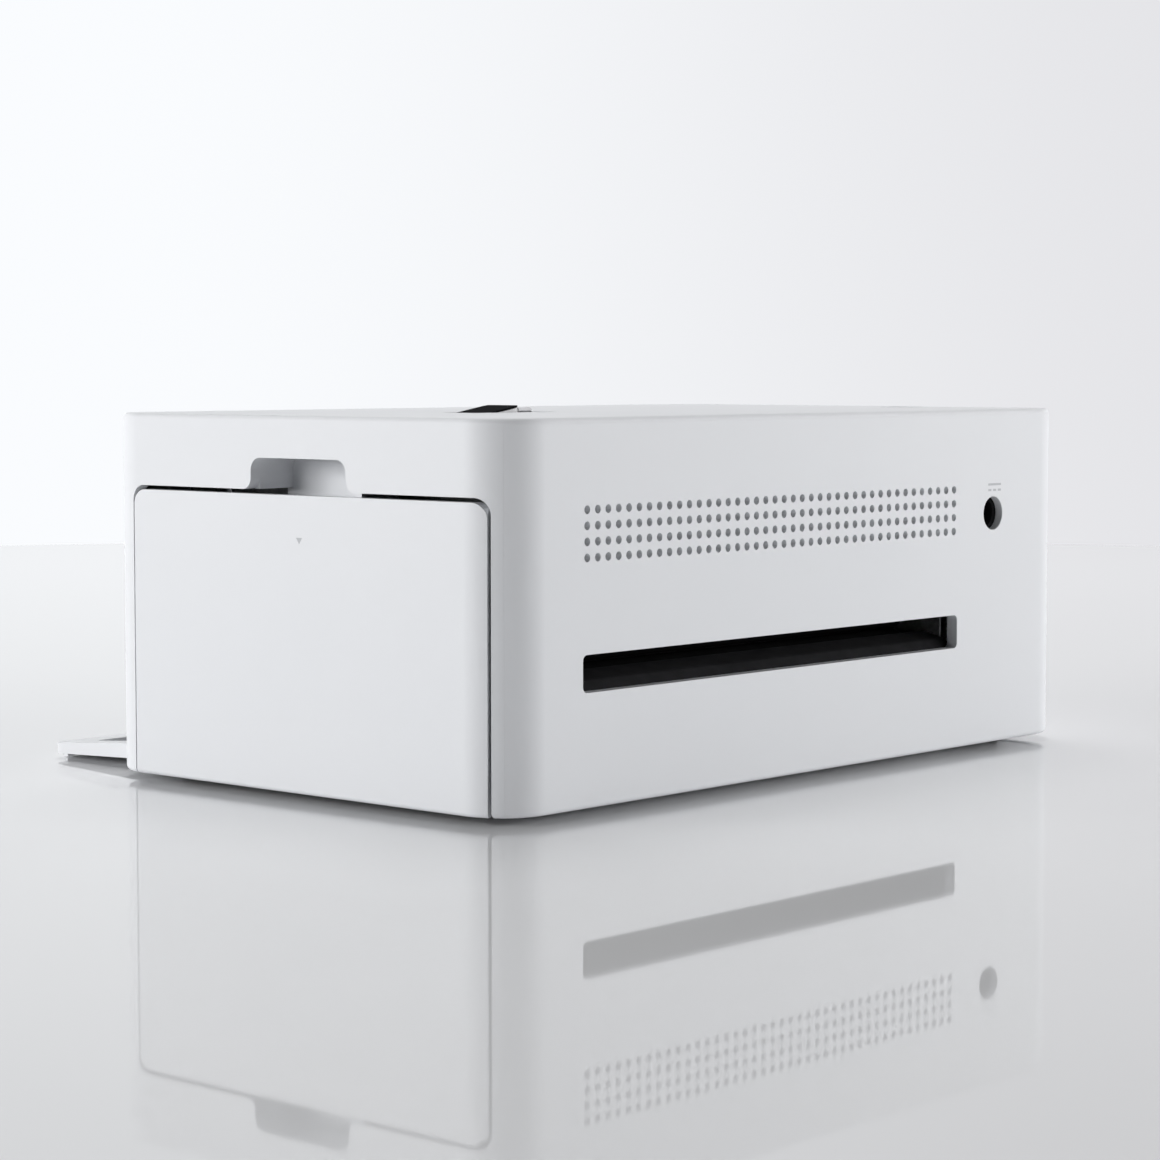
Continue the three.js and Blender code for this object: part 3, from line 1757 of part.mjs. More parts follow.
// Round power button with a flange that stops it under the top wall.
function powerButton() {
  const top = bodyTop - button.rise;
  const flangeTop = ceiling - gap.running;
  const profile = [
    [0, stemEnd],
    [button.stem, stemEnd],
    [button.stem, flangeTop - button.flangeThickness],
    [button.flange, flangeTop - button.flangeThickness],
    [button.flange, flangeTop],
    [button.radius, flangeTop],
    [button.radius, top - button.edge],
    [button.radius - button.edge, top],
    [0, top],
  ];
  const geometry = new THREE.LatheGeometry(profile.map(([r, z]) => new THREE.Vector2(r, z)), roundSides);
  geometry.rotateX(Math.PI / 2);
  return solid(geometry);
}

// The fixed casing and chassis.
add("body_shell", bodyShell(), "white");
add("rear_panel", rearPanel(), "white");
add("bottom_cover", bottomCover(), "white");
add("tray_bay", trayBay(), "darkPlastic");
add("cartridge_bay_frame", bayFrame(), "darkPlastic");
add("left_side_plate", leftSidePlate(), "steel");
add("right_side_plate", rightSidePlate(), "steel");
add("front_crossbar", frontCrossbar(), "steel");
add("top_brace", topBrace(), "steel");
add("ramp_guide", rampGuide(), "darkPlastic");
add("bed_guide", bedGuide(), "darkPlastic");
add("exit_guide", exitGuide(), "darkPlastic");
const footX = halfWidth - foot.endInset;
const footY = halfDepth - foot.sideInset;
add("foot_front_left", rubberFoot(), "rubber", [-footX, -footY, 0]);
add("foot_rear_left", rubberFoot(), "rubber", [-footX, footY, 0]);
add("foot_front_right", rubberFoot(), "rubber", [footX, -footY, 0]);
add("foot_rear_right", rubberFoot(), "rubber", [footX, footY, 0]);
add("main_board", mainBoard(), "circuit");
add("dc_jack", dcJack(), "blackGloss");
add("fan_frame", fanFrame(), "darkPlastic");
add("drive_motor", driveMotor(), "motorCan", [0, train.pinion.y, train.pinion.z]);
add("motor_bracket", motorBracket(), "steel");
add("supply_hub", supplyHub(), "acetal", [0, spool.supplyY, spoolZ]);
add("head_pivot_shaft", pivotShaft(), "brightSteel", [0, head.pivotY, headPivotZ]);
add("dock_well", dockWell(), "darkPlastic");
add("dock_hinge_pin", dockPin(), "brightSteel", [dockPivotX, 0, dockPivotZ]);
// The cartridge door and its magnets.
add("cartridge_door", cartridgeDoor(), "white");
knuckleSpots().forEach((y, i) => add(`door_hinge_pin_${i + 1}`, hingePinForm(y, 0), "brightSteel"));
catchSpots().forEach((y, i) => {
  const disc = rodX(frame.catchRadius, doorInnerX - frame.magnet, doorInnerX, 0, 0, holeSides);
  add(`door_magnet_${i + 1}`, disc, "brightSteel", [0, y, magnetZ]);
});

// The tray flap, turned down from its closed stance.
const flapGroup = new THREE.Group();
flapGroup.position.set(0, flapY, flap.hingeHeight);
flapGroup.rotation.x = Math.PI / 2 + flapDroop;
printer.add(flapGroup);
add("tray_flap", trayFlap(), "white", [0, 0, 0], flapGroup);

// The tipping phone connector.
const dockGroup = new THREE.Group();
dockGroup.position.set(dockPivotX, 0, dockPivotZ);
printer.add(dockGroup);
add("dock_arm", dockArm(), "white", [0, 0, 0], dockGroup);
add("dock_cover", dockCover(), "blackGloss", [0, 0, 0], dockGroup);
add("dock_plug", dockPlug(), "brightSteel", [0, 0, 0], dockGroup);

add("power_button", powerButton(), "white", [buttonX, button.y, 0]);

// The print head on its pivot.
add("head_bracket", headBracket(), "steel");
add("heat_sink", heatSink(), "aluminium");
add("thermal_head", thermalHead(), "blackGloss");

// The rollers.
const rollerShaft = rodX(platen.shaft, ...shaftSpan(), 0, 0, smallSides);
add("platen_shaft", rollerShaft, "brightSteel", [0, platen.y, platenZ]);
add("platen_roller", sleeve(platen.radius, platen.shaft), "rubber", [0, platen.y, platenZ]);
const capstanForm = steppedRoller(capstan.radius, capstan.shaft, gearLeft);
add("capstan_roller", capstanForm, "brightSteel", [0, capstan.y, capstanZ]);
const pinchForm = steppedRoller(pinch.radius, pinch.shaft, shaftSpan()[0]);
add("pinch_roller", pinchForm, "rubber", [0, capstan.y, pinchZ]);
add("pickup_shaft", pickupShaft(), "acetal", [0, train.pickupGear.y, train.pickupGear.z]);
[-1, 1].forEach((side, i) => {
  const place = [pathCentre + side * pickup.tyreOffset, train.pickupGear.y, train.pickupGear.z];
  add(`pickup_tyre_${i + 1}`, pickupTyre(), "rubber", place);
});

// The gear train.
const boreOnShaft = capstan.shaft + gap.seat;
const boreOnStud = gearing.stud + gap.shaft;
const { capstanGear, pinion, idlerOne, idlerTwo, takeUp, pickupGear } = train;
add("capstan_gear", gearForm(capstanGear, boreOnShaft), "acetal", [0, capstanGear.y, capstanGear.z]);
add("motor_pinion", motorPinion(), "brightSteel", [0, pinion.y, pinion.z]);
add("idler_gear_1", gearForm(idlerOne, boreOnStud), "acetal", [0, idlerOne.y, idlerOne.z]);
add("idler_gear_2", gearForm(idlerTwo, boreOnStud), "acetal", [0, idlerTwo.y, idlerTwo.z]);
add("take_up_drive_gear", takeUpGear(), "acetal", [0, takeUp.y, takeUp.z]);
add("pickup_gear", gearForm(pickupGear, pickup.shaft + gap.seat), "acetal", [0, pickupGear.y, pickupGear.z]);

// The ribbon cartridge.
add("cartridge_frame", cartridgeFrame(), "cartridgeGrey");
add("ribbon_film", ribbonFilm(), "ribbon");
add("supply_spool", spoolForm(), "acetal", [0, spool.supplyY, spoolZ]);
add("supply_film_roll", filmRoll(spool.supplyRoll), "ribbon", [0, spool.supplyY, spoolZ]);
add("take_up_spool", spoolForm(), "acetal", [0, spool.takeUpY, spoolZ]);
add("take_up_film_roll", filmRoll(spool.takeUpRoll), "ribbon", [0, spool.takeUpY, spoolZ]);

add("fan_rotor", fanRotor(), "darkPlastic", [fanX, 0, fanZ]);

// The origin lies under the middle of everything, the lowered flap included.
const flapRise = flap.plate + flap.rim - flap.hingeInset;
const flapReach = flap.length * Math.cos(flapDroop) + flapRise * Math.sin(flapDroop);
printer.position.y = (flapReach - flap.hingeInset) / 2;

export default printer;
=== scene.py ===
import json
import math
import bmesh
import bpy
from mathutils import Matrix, Vector

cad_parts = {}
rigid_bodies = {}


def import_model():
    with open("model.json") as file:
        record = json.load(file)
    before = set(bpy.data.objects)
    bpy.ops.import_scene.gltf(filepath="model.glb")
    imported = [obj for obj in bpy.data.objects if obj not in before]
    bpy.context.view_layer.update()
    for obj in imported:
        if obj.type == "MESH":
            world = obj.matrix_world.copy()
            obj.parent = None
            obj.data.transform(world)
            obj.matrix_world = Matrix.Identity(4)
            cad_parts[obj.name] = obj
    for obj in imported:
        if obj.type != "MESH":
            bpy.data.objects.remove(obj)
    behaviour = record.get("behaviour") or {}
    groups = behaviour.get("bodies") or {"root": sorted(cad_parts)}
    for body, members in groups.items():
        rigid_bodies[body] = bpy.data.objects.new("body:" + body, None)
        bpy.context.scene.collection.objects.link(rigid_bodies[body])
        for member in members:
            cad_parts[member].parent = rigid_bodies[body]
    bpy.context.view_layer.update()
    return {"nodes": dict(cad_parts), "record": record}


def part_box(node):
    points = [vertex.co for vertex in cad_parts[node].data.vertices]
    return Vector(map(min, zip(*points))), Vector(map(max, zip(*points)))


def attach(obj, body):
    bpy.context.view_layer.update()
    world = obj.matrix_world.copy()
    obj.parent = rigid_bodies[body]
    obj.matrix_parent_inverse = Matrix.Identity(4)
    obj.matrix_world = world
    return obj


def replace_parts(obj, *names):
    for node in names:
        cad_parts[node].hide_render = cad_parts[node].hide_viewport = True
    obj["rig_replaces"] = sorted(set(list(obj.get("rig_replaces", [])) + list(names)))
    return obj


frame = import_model()

# Shapes are drawn in millimetres about the middle of the case, then brought into the frame.
lowCorner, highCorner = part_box("body_shell")
caseMiddle = Vector((0, (lowCorner.y + highCorner.y) / 2, 0))
frameScale = 0.001
past = 3  # how far a cutter runs past what it cuts
lap = 0.1  # how far joined pieces run into each other, and the front opening's cutter past the wall
hub = 0.05  # how far a ring that reaches inward stays off its axis
close = {"along": 0.999, "level": 0.001, "spot": 0.01, "join": 0.0005, "spin": 0.0001}  # what counts as equal
facets = {"corner": 12, "pin": 24, "boss": 32, "hole": 96}
arcSteps = (0, 0.4, 0.8, 1.2, math.pi / 2)
axes = {"x": Vector((1, 0, 0)), "y": Vector((0, 1, 0)), "z": Vector((0, 0, 1))}

case = {
    "width": 165.8,
    "depth": 100,
    "bottom": 1.4,
    "top": 66.5,
    "corner": 9.5,
    "edge": 0.9,
    "wall": 2.3,
    "base": 2.1,
    "cornerSegments": 24,
    "edgeSegments": 6,
}
halfWidth = case["width"] / 2
halfDepth = case["depth"] / 2
ceiling = case["top"] - case["wall"]
innerX = halfWidth - case["wall"]
innerY = halfDepth - case["wall"]
arcX = halfWidth - case["corner"]
arcY = halfDepth - case["corner"]
baseTop = case["bottom"] + case["base"]


# Mesh tools.

def newObject(name, data):
    holder = bpy.data.objects.new(name, data)
    bpy.context.scene.collection.objects.link(holder)
    return holder


def meshObject(name, shape):
    mesh = bpy.data.meshes.new(name)
    shape.to_mesh(mesh)
    shape.free()
    return newObject(name, mesh)


def evaluated(piece):
    graph = bpy.context.evaluated_depsgraph_get()
    return bpy.data.meshes.new_from_object(piece.evaluated_get(graph))


def discard(*pieces):
    for piece in pieces:
        mesh = piece.data
        bpy.data.objects.remove(piece)
        bpy.data.meshes.remove(mesh)


def combine(shape, others, how):
    for other in others:
        bmesh.ops.recalc_face_normals(shape, faces=shape.faces)
        bmesh.ops.recalc_face_normals(other, faces=other.faces)
        piece = meshObject("work", shape)
        tool = meshObject("tool", other)
        step = piece.modifiers.new("step", "BOOLEAN")
        step.object = tool
        step.operation = how
        step.solver = "EXACT"
        mesh = evaluated(piece)
        shape = bmesh.new()
        shape.from_mesh(mesh)
        bpy.data.meshes.remove(mesh)
        discard(piece, tool)
    return shape


def carve(shape, *others):
    return combine(shape, others, "DIFFERENCE")


def weld(shape, *others):
    return combine(shape, others, "UNION")


def keep(shape, other):
    return combine(shape, [other], "INTERSECT")


def block(x, y, z):
    shape = bmesh.new()
    bmesh.ops.create_cube(shape, size=1)
    size = Vector((x[1] - x[0], y[1] - y[0], z[1] - z[0]))
    middle = Vector((x[0] + x[1], y[0] + y[1], z[0] + z[1])) / 2
    bmesh.ops.scale(shape, vec=size, verts=shape.verts)
    bmesh.ops.translate(shape, vec=middle, verts=shape.verts)
    return shape


def edgesAlong(shape, axis):
    way = axes[axis]
    runs = [(edge, (edge.verts[0].co - edge.verts[1].co).normalized()) for edge in shape.edges]
    return [edge for edge, run in runs if abs(run.dot(way)) > close["along"]]


def edgesAt(shape, axis, level):
    index = "xyz".index(axis)
    near = {vert for vert in shape.verts if abs(vert.co[index] - level) < close["level"]}
    return [edge for edge in shape.edges if near.issuperset(edge.verts)]


def rounded(shape, edges, radius, segments):
    bmesh.ops.bevel(shape, geom=edges, offset=radius, offset_type="OFFSET", segments=segments, profile=0.5,
                    affect="EDGES", clamp_overlap=False, material=-1)
    return shape


def pad(x, y, z, axis, radius, segments=8):
    shape = block(x, y, z)
    return rounded(shape, edgesAlong(shape, axis), radius, segments)


def rod(radius, start, end, axis, at, sides=48):
    shape = bmesh.new()
    bmesh.ops.create_cone(shape, cap_ends=True, cap_tris=False, segments=sides, radius1=radius,
                          radius2=radius, depth=end - start)
    turn = axes["z"].rotation_difference(axes[axis]).to_matrix()
    bmesh.ops.rotate(shape, matrix=turn, verts=shape.verts)
    middle = axes[axis] * ((start + end) / 2)
    rest = [name for name in "xyz" if name != axis]
    for name, value in zip(rest, at):
        middle += axes[name] * value
    bmesh.ops.translate(shape, vec=middle, verts=shape.verts)
    return shape


def prism(points, low, high, axis):
    rest = [name for name in "xyz" if name != axis]
    shape = bmesh.new()
    base = axes[axis] * low
    corners = [shape.verts.new(axes[rest[0]] * one + axes[rest[1]] * two + base) for one, two in points]
    face = shape.faces.new(corners)
    grown = bmesh.ops.extrude_face_region(shape, geom=[face])["geom"]
    moved = [part for part in grown if isinstance(part, bmesh.types.BMVert)]
    bmesh.ops.translate(shape, vec=axes[axis] * (high - low), verts=moved)
    return shape


def turned(profile, at, segments=64):
    shape = bmesh.new()
    verts = [shape.verts.new((radius, 0, height)) for radius, height in profile]
    edges = [shape.edges.new(pair) for pair in zip(verts, verts[1:])]
    bmesh.ops.spin(shape, geom=verts + edges, cent=(0, 0, 0), axis=(0, 0, 1), angle=2 * math.pi,
                   steps=segments, use_merge=True)
    bmesh.ops.remove_doubles(shape, verts=shape.verts, dist=close["spin"])
    bmesh.ops.translate(shape, vec=(at[0], at[1], 0), verts=shape.verts)
    return shape


def ringPiece(centre, inner, outer, start, end, low, high, steps=16):
    shape = bmesh.new()
    corners = [(inner, low), (outer, low), (outer, high), (inner, high)]
    verts = [shape.verts.new((radius, 0, height)) for radius, height in corners]
    shape.faces.new(verts)
    bmesh.ops.rotate(shape, matrix=Matrix.Rotation(start, 3, "Z"), verts=shape.verts)
    bmesh.ops.spin(shape, geom=shape.faces[:], cent=(0, 0, 0), axis=(0, 0, 1), angle=end - start, steps=steps)
    bmesh.ops.translate(shape, vec=(centre[0], centre[1], 0), verts=shape.verts)
    return shape


def caseBlock(inset, low, high):
    x = (-halfWidth + inset, halfWidth - inset)
    y = (-halfDepth + inset, halfDepth - inset)
    return pad(x, y, (low, high), "z", case["corner"] - inset, case["cornerSegments"])


def outerBlock():
    shape = caseBlock(0, case["bottom"], case["top"])
    edges = edgesAt(shape, "z", case["top"]) + edgesAt(shape, "z", case["bottom"])
    return rounded(shape, edges, case["edge"], case["edgeSegments"])


def finish(name, shape, material, body, nodes, edge=0.12, segments=2, angle=35, turn=None):
    bmesh.ops.remove_doubles(shape, verts=shape.verts, dist=close["join"])
    bmesh.ops.recalc_face_normals(shape, faces=shape.faces)
    piece = meshObject(name, shape)
    if edge:
        softened = piece.modifiers.new("softened", "BEVEL")
        softened.width = edge
        softened.segments = segments
        softened.limit_method = "ANGLE"
        softened.angle_limit = math.radians(angle)
        softened.use_clamp_overlap = True
        old = piece.data
        piece.data = evaluated(piece)
        piece.modifiers.clear()
        bpy.data.meshes.remove(old)
    mesh = piece.data
    mesh.name = name
    if turn is not None:
        mesh.transform(turn)
    mesh.transform(Matrix.Translation(caseMiddle) @ Matrix.Scale(frameScale, 4))
    mesh.shade_smooth()
    mesh.set_sharp_from_angle(angle=math.radians(angle))
    even = piece.modifiers.new("even", "WEIGHTED_NORMAL")
    even.keep_sharp = True
    old = piece.data
    piece.data = evaluated(piece)
    piece.data.name = name
    piece.modifiers.clear()
    bpy.data.meshes.remove(old)
    piece.data.materials.clear()
    piece.data.materials.append(material)
    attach(piece, body)
    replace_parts(piece, *nodes)


# Shared shader groups.

# Noise mostly lies between the core values. A flat face has the pointiness called flat.
noise = {"core": (0.35, 0.65), "wide": (0.3, 0.7), "cloudShare": 0.15, "flat": 0.5}


def newGroup(name, inputs, outputs):
    group = bpy.data.node_groups.new(name, "ShaderNodeTree")
    for label, value in inputs:
        socket = group.interface.new_socket(name=label, in_out="INPUT", socket_type="NodeSocketFloat")
        socket.default_value = value
    for label in outputs:
        group.interface.new_socket(name=label, in_out="OUTPUT", socket_type="NodeSocketFloat")
    return group, group.nodes.new("NodeGroupInput"), group.nodes.new("NodeGroupOutput")


def noiseNode(tree, vector, scale, detail=2.0, roughness=0.5):
    node = tree.nodes.new("ShaderNodeTexNoise")
    tree.links.new(vector, node.inputs["Vector"])
    if isinstance(scale, (int, float)):
        node.inputs["Scale"].default_value = scale
    else:
        tree.links.new(scale, node.inputs["Scale"])
    node.inputs["Detail"].default_value = detail
    node.inputs["Roughness"].default_value = roughness
    return node.outputs["Fac"]


def mathNode(tree, operation, first, second=None, third=None):
    node = tree.nodes.new("ShaderNodeMath")
    node.operation = operation
    for socket, value in zip(node.inputs, (first, second, third)):
        if value is None:
            continue
        if isinstance(value, (int, float)):
            socket.default_value = value
        else:
            tree.links.new(value, socket)
    return node.outputs[0]


def ranged(tree, value, low, high, toLow, toHigh):
    node = tree.nodes.new("ShaderNodeMapRange")
    tree.links.new(value, node.inputs["Value"])
    node.inputs["From Min"].default_value = low
    node.inputs["From Max"].default_value = high
    node.inputs["To Min"].default_value = toLow
    node.inputs["To Max"].default_value = toHigh
    return node.outputs["Result"]


def mouldedGroup():
    group, given, out = newGroup("mouldedSurface", [("Grain", 4000.0), ("Cloud", 14.0)], ["Tone", "Height"])
    place = group.nodes.new("ShaderNodeTexCoord").outputs["Object"]
    cloud = noiseNode(group, place, given.outputs["Cloud"], 3.0)
    grain = noiseNode(group, place, given.outputs["Grain"], 2.0, 0.6)
    height = mathNode(group, "MULTIPLY_ADD", cloud, noise["cloudShare"], grain)
    group.links.new(cloud, out.inputs["Tone"])
    group.links.new(height, out.inputs["Height"])
    return group


def wornGroup():
    group, given, out = newGroup("wornEdge", [("Reach", 0.06), ("Break", 260.0)], ["Wear"])
    surface = group.nodes.new("ShaderNodeNewGeometry")
    place = group.nodes.new("ShaderNodeTexCoord").outputs["Object"]
    edge = mathNode(group, "SUBTRACT", surface.outputs["Pointiness"], noise["flat"])
    share = mathNode(group, "DIVIDE", edge, given.outputs["Reach"])
    broken = noiseNode(group, place, given.outputs["Break"], 3.0, 0.65)
    wear = mathNode(group, "MULTIPLY", share, broken)
    node = group.nodes.new("ShaderNodeClamp")
    group.links.new(wear, node.inputs["Value"])
    group.links.new(node.outputs[0], out.inputs["Wear"])
    return group


def brushedGroup():
    group, given, out = newGroup("brushedSurface", [("Across", 2600.0), ("Along", 30.0)], ["Streak"])
    place = group.nodes.new("ShaderNodeTexCoord").outputs["Object"]
    parts = group.nodes.new("ShaderNodeSeparateXYZ")
    group.links.new(place, parts.inputs[0])
    joined = group.nodes.new("ShaderNodeCombineXYZ")
    for index, rate in enumerate(("Along", "Across", "Across")):
        value = mathNode(group, "MULTIPLY", parts.outputs[index], given.outputs[rate])
        group.links.new(value, joined.inputs[index])
    streak = noiseNode(group, joined.outputs[0], 1.0, 3.0, 0.6)
    group.links.new(streak, out.inputs["Streak"])
    return group


groups = {"moulded": mouldedGroup(), "worn": wornGroup(), "brushed": brushedGroup()}
print("shader groups made")


def newMaterial(name):
    material = bpy.data.materials.new(name)
    material.use_nodes = True
    tree = material.node_tree
    return material, tree, tree.nodes["Principled BSDF"]


def useGroup(tree, name, **values):
    node = tree.nodes.new("ShaderNodeGroup")
    node.node_tree = groups[name]
    for label, value in values.items():
        node.inputs[label].default_value = value
    return node


# Sockets 6 and 7 of the node take its two colours.
def mixedColour(tree, share, first, second):
    node = tree.nodes.new("ShaderNodeMix")
    node.data_type = "RGBA"
    tree.links.new(share, node.inputs[0])
    for socket, value in ((node.inputs[6], first), (node.inputs[7], second)):
        if isinstance(value, (tuple, list)):
            socket.default_value = (*value, 1)
        else:
            tree.links.new(value, socket)
    return node.outputs[2]


def bumped(tree, shader, height, strength, distance):
    node = tree.nodes.new("ShaderNodeBump")
    node.inputs["Strength"].default_value = strength
    node.inputs["Distance"].default_value = distance
    tree.links.new(height, node.inputs["Height"])
    tree.links.new(node.outputs["Normal"], shader.inputs["Normal"])


coatRough = 0.12
metalDepth = 0.00003
brightEdge = (0.9, 0.9, 0.91)


def plasticParts(name, colour, shade, rough, grain=4000.0, bump=0.1, depth=0.00002, coat=0.0, wear=None,
                 shine=0.5):
    material, tree, shader = newMaterial(name)
    surface = useGroup(tree, "moulded", Grain=grain)
    tone = ranged(tree, surface.outputs["Tone"], *noise["core"], 0, 1)
    base = mixedColour(tree, tone, colour, shade)
    if wear:
        edges = useGroup(tree, "worn")
        base = mixedColour(tree, edges.outputs["Wear"], base, wear)
    tree.links.new(base, shader.inputs["Base Color"])
    roughness = ranged(tree, surface.outputs["Tone"], *noise["wide"], *rough)
    tree.links.new(roughness, shader.inputs["Roughness"])
    shader.inputs["Specular IOR Level"].default_value = shine
    shader.inputs["Coat Weight"].default_value = coat
    shader.inputs["Coat Roughness"].default_value = coatRough
    bumped(tree, shader, surface.outputs["Height"], bump, depth)
    return material, tree, shader, base


def plastic(*values, **options):
    return plasticParts(*values, **options)[0]


def metal(name, colour, shade, rough, across=2600.0, along=30.0, bump=0.15):
    material, tree, shader = newMaterial(name)
    shader.inputs["Metallic"].default_value = 1
    surface = useGroup(tree, "brushed", Across=across, Along=along)
    edges = useGroup(tree, "worn")
    base = mixedColour(tree, surface.outputs["Streak"], colour, shade)
    worn = mixedColour(tree, edges.outputs["Wear"], base, brightEdge)
    tree.links.new(worn, shader.inputs["Base Color"])
    roughness = ranged(tree, surface.outputs["Streak"], *noise["wide"], *rough)
    tree.links.new(roughness, shader.inputs["Roughness"])
    bumped(tree, shader, surface.outputs["Streak"], bump, metalDepth)
    return material


# Printed marks are masks in the frame's own coordinates.
def placed(tree):
    place = tree.nodes.new("ShaderNodeTexCoord").outputs["Object"]
    parts = tree.nodes.new("ShaderNodeSeparateXYZ")
    tree.links.new(place, parts.inputs[0])
    return parts.outputs


def within(tree, value, middle, half):
    offset = mathNode(tree, "SUBTRACT", value, middle)
    return mathNode(tree, "LESS_THAN", mathNode(tree, "ABSOLUTE", offset), half)


def barMask(tree, across, up, middle, size):
    wide = within(tree, across, middle[0], size[0] / 2)
    tall = within(tree, up, middle[1], size[1] / 2)
    return mathNode(tree, "MULTIPLY", wide, tall)


def arrowMask(tree, across, up, middle, size):
    rise = mathNode(tree, "SUBTRACT", up, middle[1] - size[1] / 2)
    half = mathNode(tree, "MULTIPLY", rise, size[0] / 2 / size[1])
    offset = mathNode(tree, "ABSOLUTE", mathNode(tree, "SUBTRACT", across, middle[0]))
    inside = mathNode(tree, "LESS_THAN", offset, half)
    return mathNode(tree, "MULTIPLY", inside, mathNode(tree, "LESS_THAN", rise, size[1]))


def inMetres(lengths):
    return [length * frameScale for length in lengths]


def framePoint(across, up, along):
    shift = caseMiddle.y if along == "y" else 0
    return (across * frameScale + shift, up * frameScale)


shellPlastic = {
    "colour": (0.80, 0.81, 0.83),
    "shade": (0.785, 0.797, 0.818),
    "rough": (0.30, 0.38),
    "grain": 5200.0,
    "bump": 0.12,
}
whiteCase = plastic("whiteCase", **shellPlastic)
printInk = (0.5, 0.51, 0.53)


def markedPlastic(name, masks):
    material, tree, shader, base = plasticParts(name, **shellPlastic)
    parts = placed(tree)
    total = None
    for mask in masks:
        value = mask(tree, parts)
        total = value if total is None else mathNode(tree, "MAXIMUM", total, value)
    tree.links.new(mixedColour(tree, total, base, printInk), shader.inputs["Base Color"])
    return material


# The door's mark is a small arrow, and the mark over the supply opening is the sign for direct current.
openMark = {"at": (1.9, 45.1), "size": (1.5, 1.1), "depth": 0.5}
currentMark = {"at": (-57.2, 51.4), "line": (4.4, 0.42), "dash": (1.1, 0.42), "dashPitch": 1.65, "rise": 0.55}


def openArrow(tree, parts):
    middle = framePoint(*openMark["at"], "y")
    size = inMetres(openMark["size"])
    arrow = arrowMask(tree, parts[1], parts[2], middle, size)
    outside = mathNode(tree, "GREATER_THAN", parts[0], (halfWidth - openMark["depth"]) * frameScale)
    return mathNode(tree, "MULTIPLY", arrow, outside)


def currentLine(tree, parts):
    x, z = currentMark["at"]
    at = framePoint(x, z + currentMark["rise"], "x")
    return barMask(tree, parts[0], parts[2], at, inMetres(currentMark["line"]))


def currentDash(step):
    def mask(tree, parts):
        x, z = currentMark["at"]
        at = framePoint(x + step * currentMark["dashPitch"], z - currentMark["rise"], "x")
        return barMask(tree, parts[0], parts[2], at, inMetres(currentMark["dash"]))
    return mask


doorPlastic = markedPlastic("doorPlastic", [openArrow])
panelPlastic = markedPlastic("panelPlastic", [currentLine, currentDash(-1), currentDash(0), currentDash(1)])
darkPlastic = plastic("darkPlastic", (0.004, 0.004, 0.0045), (0.006, 0.006, 0.0065), (0.6, 0.74),
                      grain=2600.0, bump=0.35, depth=0.00004, wear=(0.03, 0.03, 0.032), shine=0.08)
blackSatin = plastic("blackSatin", (0.003, 0.003, 0.004), (0.005, 0.005, 0.006), (0.3, 0.4), grain=5200.0,
                     bump=0.08, coat=0.03, wear=(0.02, 0.02, 0.022), shine=0.0)
blackMatte = plastic("blackMatte", (0.006, 0.006, 0.006), (0.01, 0.01, 0.011), (0.5, 0.62), grain=3000.0,
                     bump=0.25, depth=0.00003, wear=(0.04, 0.04, 0.042), shine=0.2)
rubber = plastic("rubber", (0.012, 0.012, 0.013), (0.018, 0.018, 0.019), (0.72, 0.86), grain=1800.0,
                 bump=0.4, depth=0.00005, wear=(0.04, 0.04, 0.042), shine=0.15)
blackRoller = plastic("blackRoller", (0.003, 0.003, 0.003), (0.005, 0.005, 0.005), (0.7, 0.85), grain=5200.0,
                      bump=0.3, wear=(0.02, 0.02, 0.021), shine=0.0)
acetal = plastic("acetal", (0.80, 0.79, 0.74), (0.77, 0.76, 0.70), (0.36, 0.46), grain=3000.0, bump=0.15)
cartridgePlastic = plastic("cartridgePlastic", (0.132, 0.139, 0.147), (0.138, 0.145, 0.153), (0.44, 0.5),
                           grain=3200.0, bump=0.3, depth=0.00003, wear=(0.28, 0.29, 0.3))
silverPaint = plastic("silverPaint", (0.70, 0.70, 0.71), (0.65, 0.65, 0.66), (0.28, 0.36), grain=9000.0)
sheetSteel = metal("sheetSteel", (0.11, 0.112, 0.116), (0.08, 0.082, 0.086), (0.36, 0.5), across=1400.0,
                   along=60.0)
groundSteel = metal("groundSteel", (0.70, 0.71, 0.72), (0.60, 0.61, 0.62), (0.16, 0.28), across=5200.0)
aluminium = metal("aluminium", (0.66, 0.67, 0.68), (0.57, 0.58, 0.59), (0.32, 0.46), across=3800.0)
canSteel = metal("canSteel", (0.50, 0.51, 0.52), (0.42, 0.43, 0.44), (0.28, 0.4), across=2200.0)
connectorMetal = metal("connectorMetal", (0.6, 0.6, 0.6), (0.52, 0.52, 0.52), (0.2, 0.3), across=7000.0)


# A fine brick pattern stands for the copper traces.
boardLook = {
    "Scale": 330,
    "Mortar Size": 0.06,
    "Color1": (0.012, 0.10, 0.045, 1),
    "Color2": (0.014, 0.12, 0.052, 1),
    "Mortar": (0.03, 0.2, 0.1, 1),
}
boardRough = (0.28, 0.42)


def boardMaterial():
    material, tree, shader = newMaterial("circuitBoard")
    place = tree.nodes.new("ShaderNodeTexCoord").outputs["Object"]
    cells = tree.nodes.new("ShaderNodeTexBrick")
    tree.links.new(place, cells.inputs["Vector"])
    for label, value in boardLook.items():
        cells.inputs[label].default_value = value
    tree.links.new(cells.outputs["Color"], shader.inputs["Base Color"])
    surface = useGroup(tree, "moulded", Grain=2400.0, Cloud=60.0)
    roughness = ranged(tree, surface.outputs["Tone"], *noise["wide"], *boardRough)
    tree.links.new(roughness, shader.inputs["Roughness"])
    bumped(tree, shader, cells.outputs["Fac"], 0.3, metalDepth)
    return material


